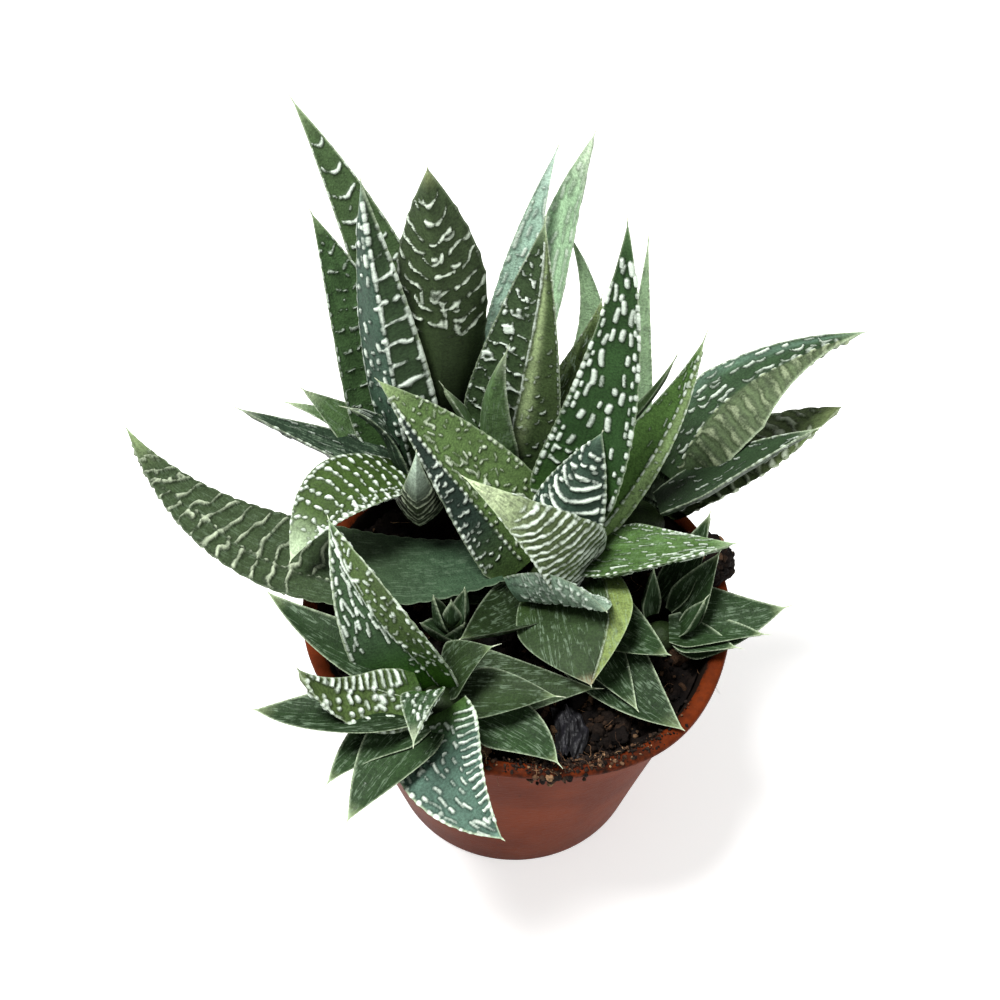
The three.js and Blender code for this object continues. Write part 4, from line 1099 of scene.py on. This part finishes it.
def soilBed(rng, edge):
    turn = np.linspace(0, 2 * math.pi, int(2 * math.pi * soil["reach"] / soil["pitch"]))
    radius = np.linspace(0.02, 1, int(soil["reach"] / soil["pitch"]))
    x = edge * radius[:, None] * np.cos(turn)
    y = edge * radius[:, None] * np.sin(turn)
    grown = outOfRound(turn, soil["level"] + 2)
    z = soilTop(x, y) + 1.1 * waves(x, y, rng, 3.5, 14) + 0.8 * waves(x, y, rng, 1.5, 14)
    z[:, -1] = z[:, 0]
    tone = (soft(waves(x, y, rng, 6, 9), -0.6, 0.8) * 0.8).ravel()[:, None]
    colour = paint(soil["dark"]) * (1 - tone) + paint(soil["light"]) * tone
    points = np.stack([x * grown, y * grown, z], -1)
    return patch(points, sheetFaces(len(radius), len(turn)), colour=colour)


def soilUnderside(edge, sides=96):
    profile = [(edge, soil["level"] + 2), (wallRadius(25) - 1.5, 25), (wallRadius(1.5) - 1.5, 1.5),
               (0.05, 1.5)]
    colour = np.tile(paint(soil["under"]), (len(profile) * (sides + 1), 1))
    return patch(ringOfRevolution(profile, sides), sheetFaces(len(profile), sides + 1, True), colour=colour)


def surfaceCrumbs(rng, edge):  # more of them towards the front
    count = soil["crumbs"]
    angle = rng.uniform(0, 2 * math.pi, count)
    angle = np.where(rng.random(count) < 0.5, np.radians(rng.normal(-58, 24, count)), angle)
    radius = edge * np.sqrt(rng.uniform(0, 1, count)) * 0.985
    sizes = 0.2 + 0.8 * rng.uniform(0, 1, count) ** 3.5
    centres = onSoil(angle, radius, sizes * 0.45)
    big = sizes > 0.7
    return [crumbPatch(centres[big], sizes[big], rng, 1, 1.2), crumbPatch(centres[~big], sizes[~big], rng)]


def roughClumps(rng, edge):  # at the front, clear of the withered leaf
    count = soil["clumps"]
    angle = np.radians(rng.normal(-60, 26, count))
    radius = edge * np.sqrt(rng.uniform(0.25, 0.9, count))
    sizes = rng.uniform(1.0, 2.3, count)
    centres = onSoil(angle, radius, sizes * 0.35)
    clear = np.hypot((centres[:, 0] - 9.5) / 5.5, (centres[:, 1] + 32) / 8.5) > 1
    return crumbPatch(centres[clear], sizes[clear], rng, 2, 1.1)


def clodPatches(rng, edge):  # the clod at the right, and the crumbs on it
    ball, faces = fineBall(4)
    size = np.array(soil["clodSize"])
    points = ball * size * 0.9
    x, y, z = points.T
    relief = 1 + 0.1 * waves(x + z, y - 0.6 * z, rng, 4, 12) + 0.06 * waves(x - z, y + z, rng, 1.8, 12)
    points = points * relief[:, None] + soil["clod"]
    reach = np.hypot(points[:, 0], points[:, 1])
    low = points[:, 2] < pot["height"] + 0.4
    pull = np.where(low & (reach > edge), edge / np.maximum(reach, 1), 1)  # kept inside the wall
    points[:, :2] *= pull[:, None]
    clod = patch(points, faces, colour=np.tile(paint(soil["clodColour"]), (len(points), 1)))
    away = unit(rng.normal(size=(soil["clodCrumbs"], 3)))
    sizes = 0.3 + 0.8 * rng.uniform(0, 1, soil["clodCrumbs"]) ** 2.5
    centres = np.array(soil["clod"]) + away * size * 0.86
    keep = (centres[:, 2] > pot["height"] + 1.2) & (centres[:, 0] < soil["clodLimit"])
    return [clod, crumbPatch(centres[keep], sizes[keep], rng, 1)]


def spilledCrumbs(rng):  # on the front of the rim
    count, (inner, outer) = soil["spill"], soil["spillBand"]
    angle = np.radians(rng.normal(soil["spillAt"], 13, count))
    radius = rng.uniform(inner, outer, count)
    sizes = 0.12 + 0.36 * rng.uniform(0, 1, count) ** 2.5
    height = np.where(radius > soil["overRim"], pot["height"] + sizes * 0.35,
                      58.6 + (radius - inner) * 2.0)  # on the lip, or banked inside it
    place = around(angle, radius * outOfRound(angle, pot["height"] - 1.5), height)
    return crumbPatch(place, sizes, rng, 0, 2.6)


def hangingCrumbs(rng):  # down the outside, below the spilled ones
    count = soil["hanging"]
    angle = np.radians(rng.normal(soil["hangingAt"], 4, count))
    drop = rng.uniform(0, 1, count) ** 1.6 * 4
    sizes = 0.2 + 0.45 * rng.uniform(0, 1, count)
    radius = (pot["rim"] + 0.1 - drop * 0.3) * outOfRound(angle, pot["height"] - 1.5)
    return crumbPatch(around(angle, radius, pot["height"] - 0.5 - drop), sizes, rng, 1, 1.6)


def soilFibres(rng):
    patches = []
    for _ in range(soil["fibres"]):
        angle, radius = rng.uniform(0, 2 * math.pi), soil["fibreReach"] * math.sqrt(rng.uniform(0.1, 1))
        start = onSoil(angle, radius, 0.9)
        patches.append(fibrePatch(start, rng, rng.uniform(3, 8), rng.uniform(0.05, 0.12)))
    for _ in range(soil["rimFibres"]):
        angle, radius = math.radians(rng.normal(-80, 9)), rng.uniform(*soil["rimFibreBand"])
        start = onSoil(angle, radius, 1.4)
        if radius > soil["overRim"]:
            start[2] = pot["height"] + 0.25
        patches.append(fibrePatch(start, rng, rng.uniform(2, 4), rng.uniform(0.06, 0.13)))
    return patches


def soilPatches():
    rng = np.random.default_rng(5)
    edge = wallRadius(soil["level"] + 2) - pot["wall"] - soil["gap"]
    return [soilBed(rng, edge), soilUnderside(edge), *surfaceCrumbs(rng, edge), roughClumps(rng, edge),
            *clodPatches(rng, edge), spilledCrumbs(rng), hangingCrumbs(rng), *soilFibres(rng)]


pottingSoil = makeObject("pottingSoil", soilPatches(), soilMaterial())
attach(pottingSoil, "root")
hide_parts("soil")
print("soil filled")


# pale is a painted sheen on the crests of the creases
withered = {"root": (9, -26), "tip": (10, -38.5), "width": 6.5, "rows": 60, "columns": 36,
            "colour": 0x0a090e, "pale": 0x24222b, "line": 0x2a282e, "lineScale": (2.2, 0.35, 1),
            "bumpDepth": 0.0006}


def witheredPatches():
    rng = np.random.default_rng(11)
    rows, columns = withered["rows"], withered["columns"]
    (rootX, rootY), (tipX, tipY) = withered["root"], withered["tip"]
    s, q = np.linspace(0, 1, rows)[:, None], np.linspace(-1, 1, columns)[None]
    half = withered["width"] / 2 * (0.5 + 0.5 * np.sin(math.pi * (0.15 + 0.75 * s)))
    x = rootX + (tipX - rootX) * s + 1.2 * np.sin(4 * s) + q * half
    torn = 1 + 0.07 * waves(q * 5, 0 * q, rng, 1.6, 8) * s ** 3
    y = rootY + (tipY - rootY) * s * torn
    crease = 0.5 * waves(q * 6 + 0 * s, s * 3 + 0 * q, rng, 2.2, 8) + 0.25 * waves(x, y, rng, 1.4, 8)
    crease = crease + 0.7 * np.abs(np.sin(4.6 * q + 0.9 * np.sin(3.1 * s + 1))) - 0.35
    z = soilTop(x, y) + 1.3 + 1.0 * (1 - q * q) + crease * (1 - 0.6 * np.abs(q))
    top = np.stack([x, y, z], -1)
    low = np.stack([x, y, np.minimum(z - 0.3, soilTop(x, y) + 0.5)], -1)
    # paler on the crests: a painted sheen; the lower face is a darker copy, painted shade
    tone = soft(crease, 0.1, 0.9).ravel()[:, None] * 0.5
    colour = paint(withered["colour"]) * (1 - tone) + paint(withered["pale"]) * tone
    return [patch(top, sheetFaces(rows, columns, True), colour=colour),
            patch(low, sheetFaces(rows, columns), colour=colour * 0.6)]


def witheredMaterial():
    bench = Bench("deadLeaf")
    place = bench.held("place", 1)
    lines = bench.noise(bench.stretched(place, withered["lineScale"]), 1.0, 4, 0.6)
    colour = bench.blend(bench.held("colour", 0), paint(withered["line"]),
                         bench.between(lines, 0.58, 0.75) * 0.5)
    return bench.finish(Base_Color=colour, Roughness=lines * 0.3 + 0.4,
                        Normal=bench.bumped(lines, 0.8, withered["bumpDepth"]))


deadLeaf = makeObject("deadLeaf", witheredPatches(), witheredMaterial())
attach(deadLeaf, "root")
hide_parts("withered_leaf")
print("withered leaf laid")


studio = {"floor": 0xf4f4f2, "floorGlow": 0.5, "floorSize": 3.0, "world": 0.31, "aimHeight": 0.07,
          "keyPower": 8.7, "keySize": 0.3, "keyPlace": (-0.22, 0.0, 0.7),
          "fillPower": 2.0, "fillSize": 0.5, "fillPlace": (0.5, -0.45, 0.35),
          "lens": 40.1, "sensor": 36, "cameraTilt": 44.8, "cameraPlace": (-0.0034, -0.1522, 0.2423)}


def aim(thing, target):  # turns a lamp to face the target
    gap = np.array(target) - np.array(thing.location)
    tilt = math.atan2(math.hypot(gap[0], gap[1]), -gap[2])
    thing.rotation_euler = (tilt, 0, math.atan2(gap[1], gap[0]) - math.pi / 2)


def softBox(name):
    lamp = bpy.data.lights.new(name, "AREA")
    lamp.energy, lamp.size, lamp.shape = studio[name + "Power"], studio[name + "Size"], "DISK"
    holder = bpy.data.objects.new(name, lamp)
    holder.location = studio[name + "Place"]
    aim(holder, (0, 0, studio["aimHeight"]))
    bpy.context.scene.collection.objects.link(holder)


def floorSheet():
    mesh = bpy.data.meshes.new("floor")
    size = studio["floorSize"]
    corners = [(-size, -size, 0), (size, -size, 0), (size, size, 0), (-size, size, 0)]
    mesh.from_pydata(corners, [], [(0, 1, 2, 3)])
    bench = Bench("floorPaper")
    mesh.materials.append(bench.finish(Base_Color=(*paint(studio["floor"]), 1), Roughness=0.9,
                                       Emission_Color=(1, 1, 1, 1), Emission_Strength=studio["floorGlow"]))
    made = bpy.data.objects.new("floor", mesh)
    bpy.context.scene.collection.objects.link(made)


def paperWorld():
    world = bpy.data.worlds.new("studio")
    bpy.context.scene.world = world
    world.use_nodes = True
    backdrop = world.node_tree.nodes["Background"].inputs
    backdrop["Color"].default_value = (1, 1, 1, 1)
    backdrop["Strength"].default_value = studio["world"]
    bpy.context.scene.view_settings.view_transform = "Standard"


def photoCamera():
    lens = bpy.data.cameras.new("camera")
    lens.lens, lens.sensor_width = studio["lens"], studio["sensor"]
    camera = bpy.data.objects.new("camera", lens)
    camera.location = studio["cameraPlace"]
    camera.rotation_euler = (math.radians(studio["cameraTilt"]), 0, 0)
    bpy.context.scene.collection.objects.link(camera)
    bpy.context.scene.camera = camera


floorSheet()
softBox("key")
softBox("fill")
paperWorld()
photoCamera()
print("studio set")
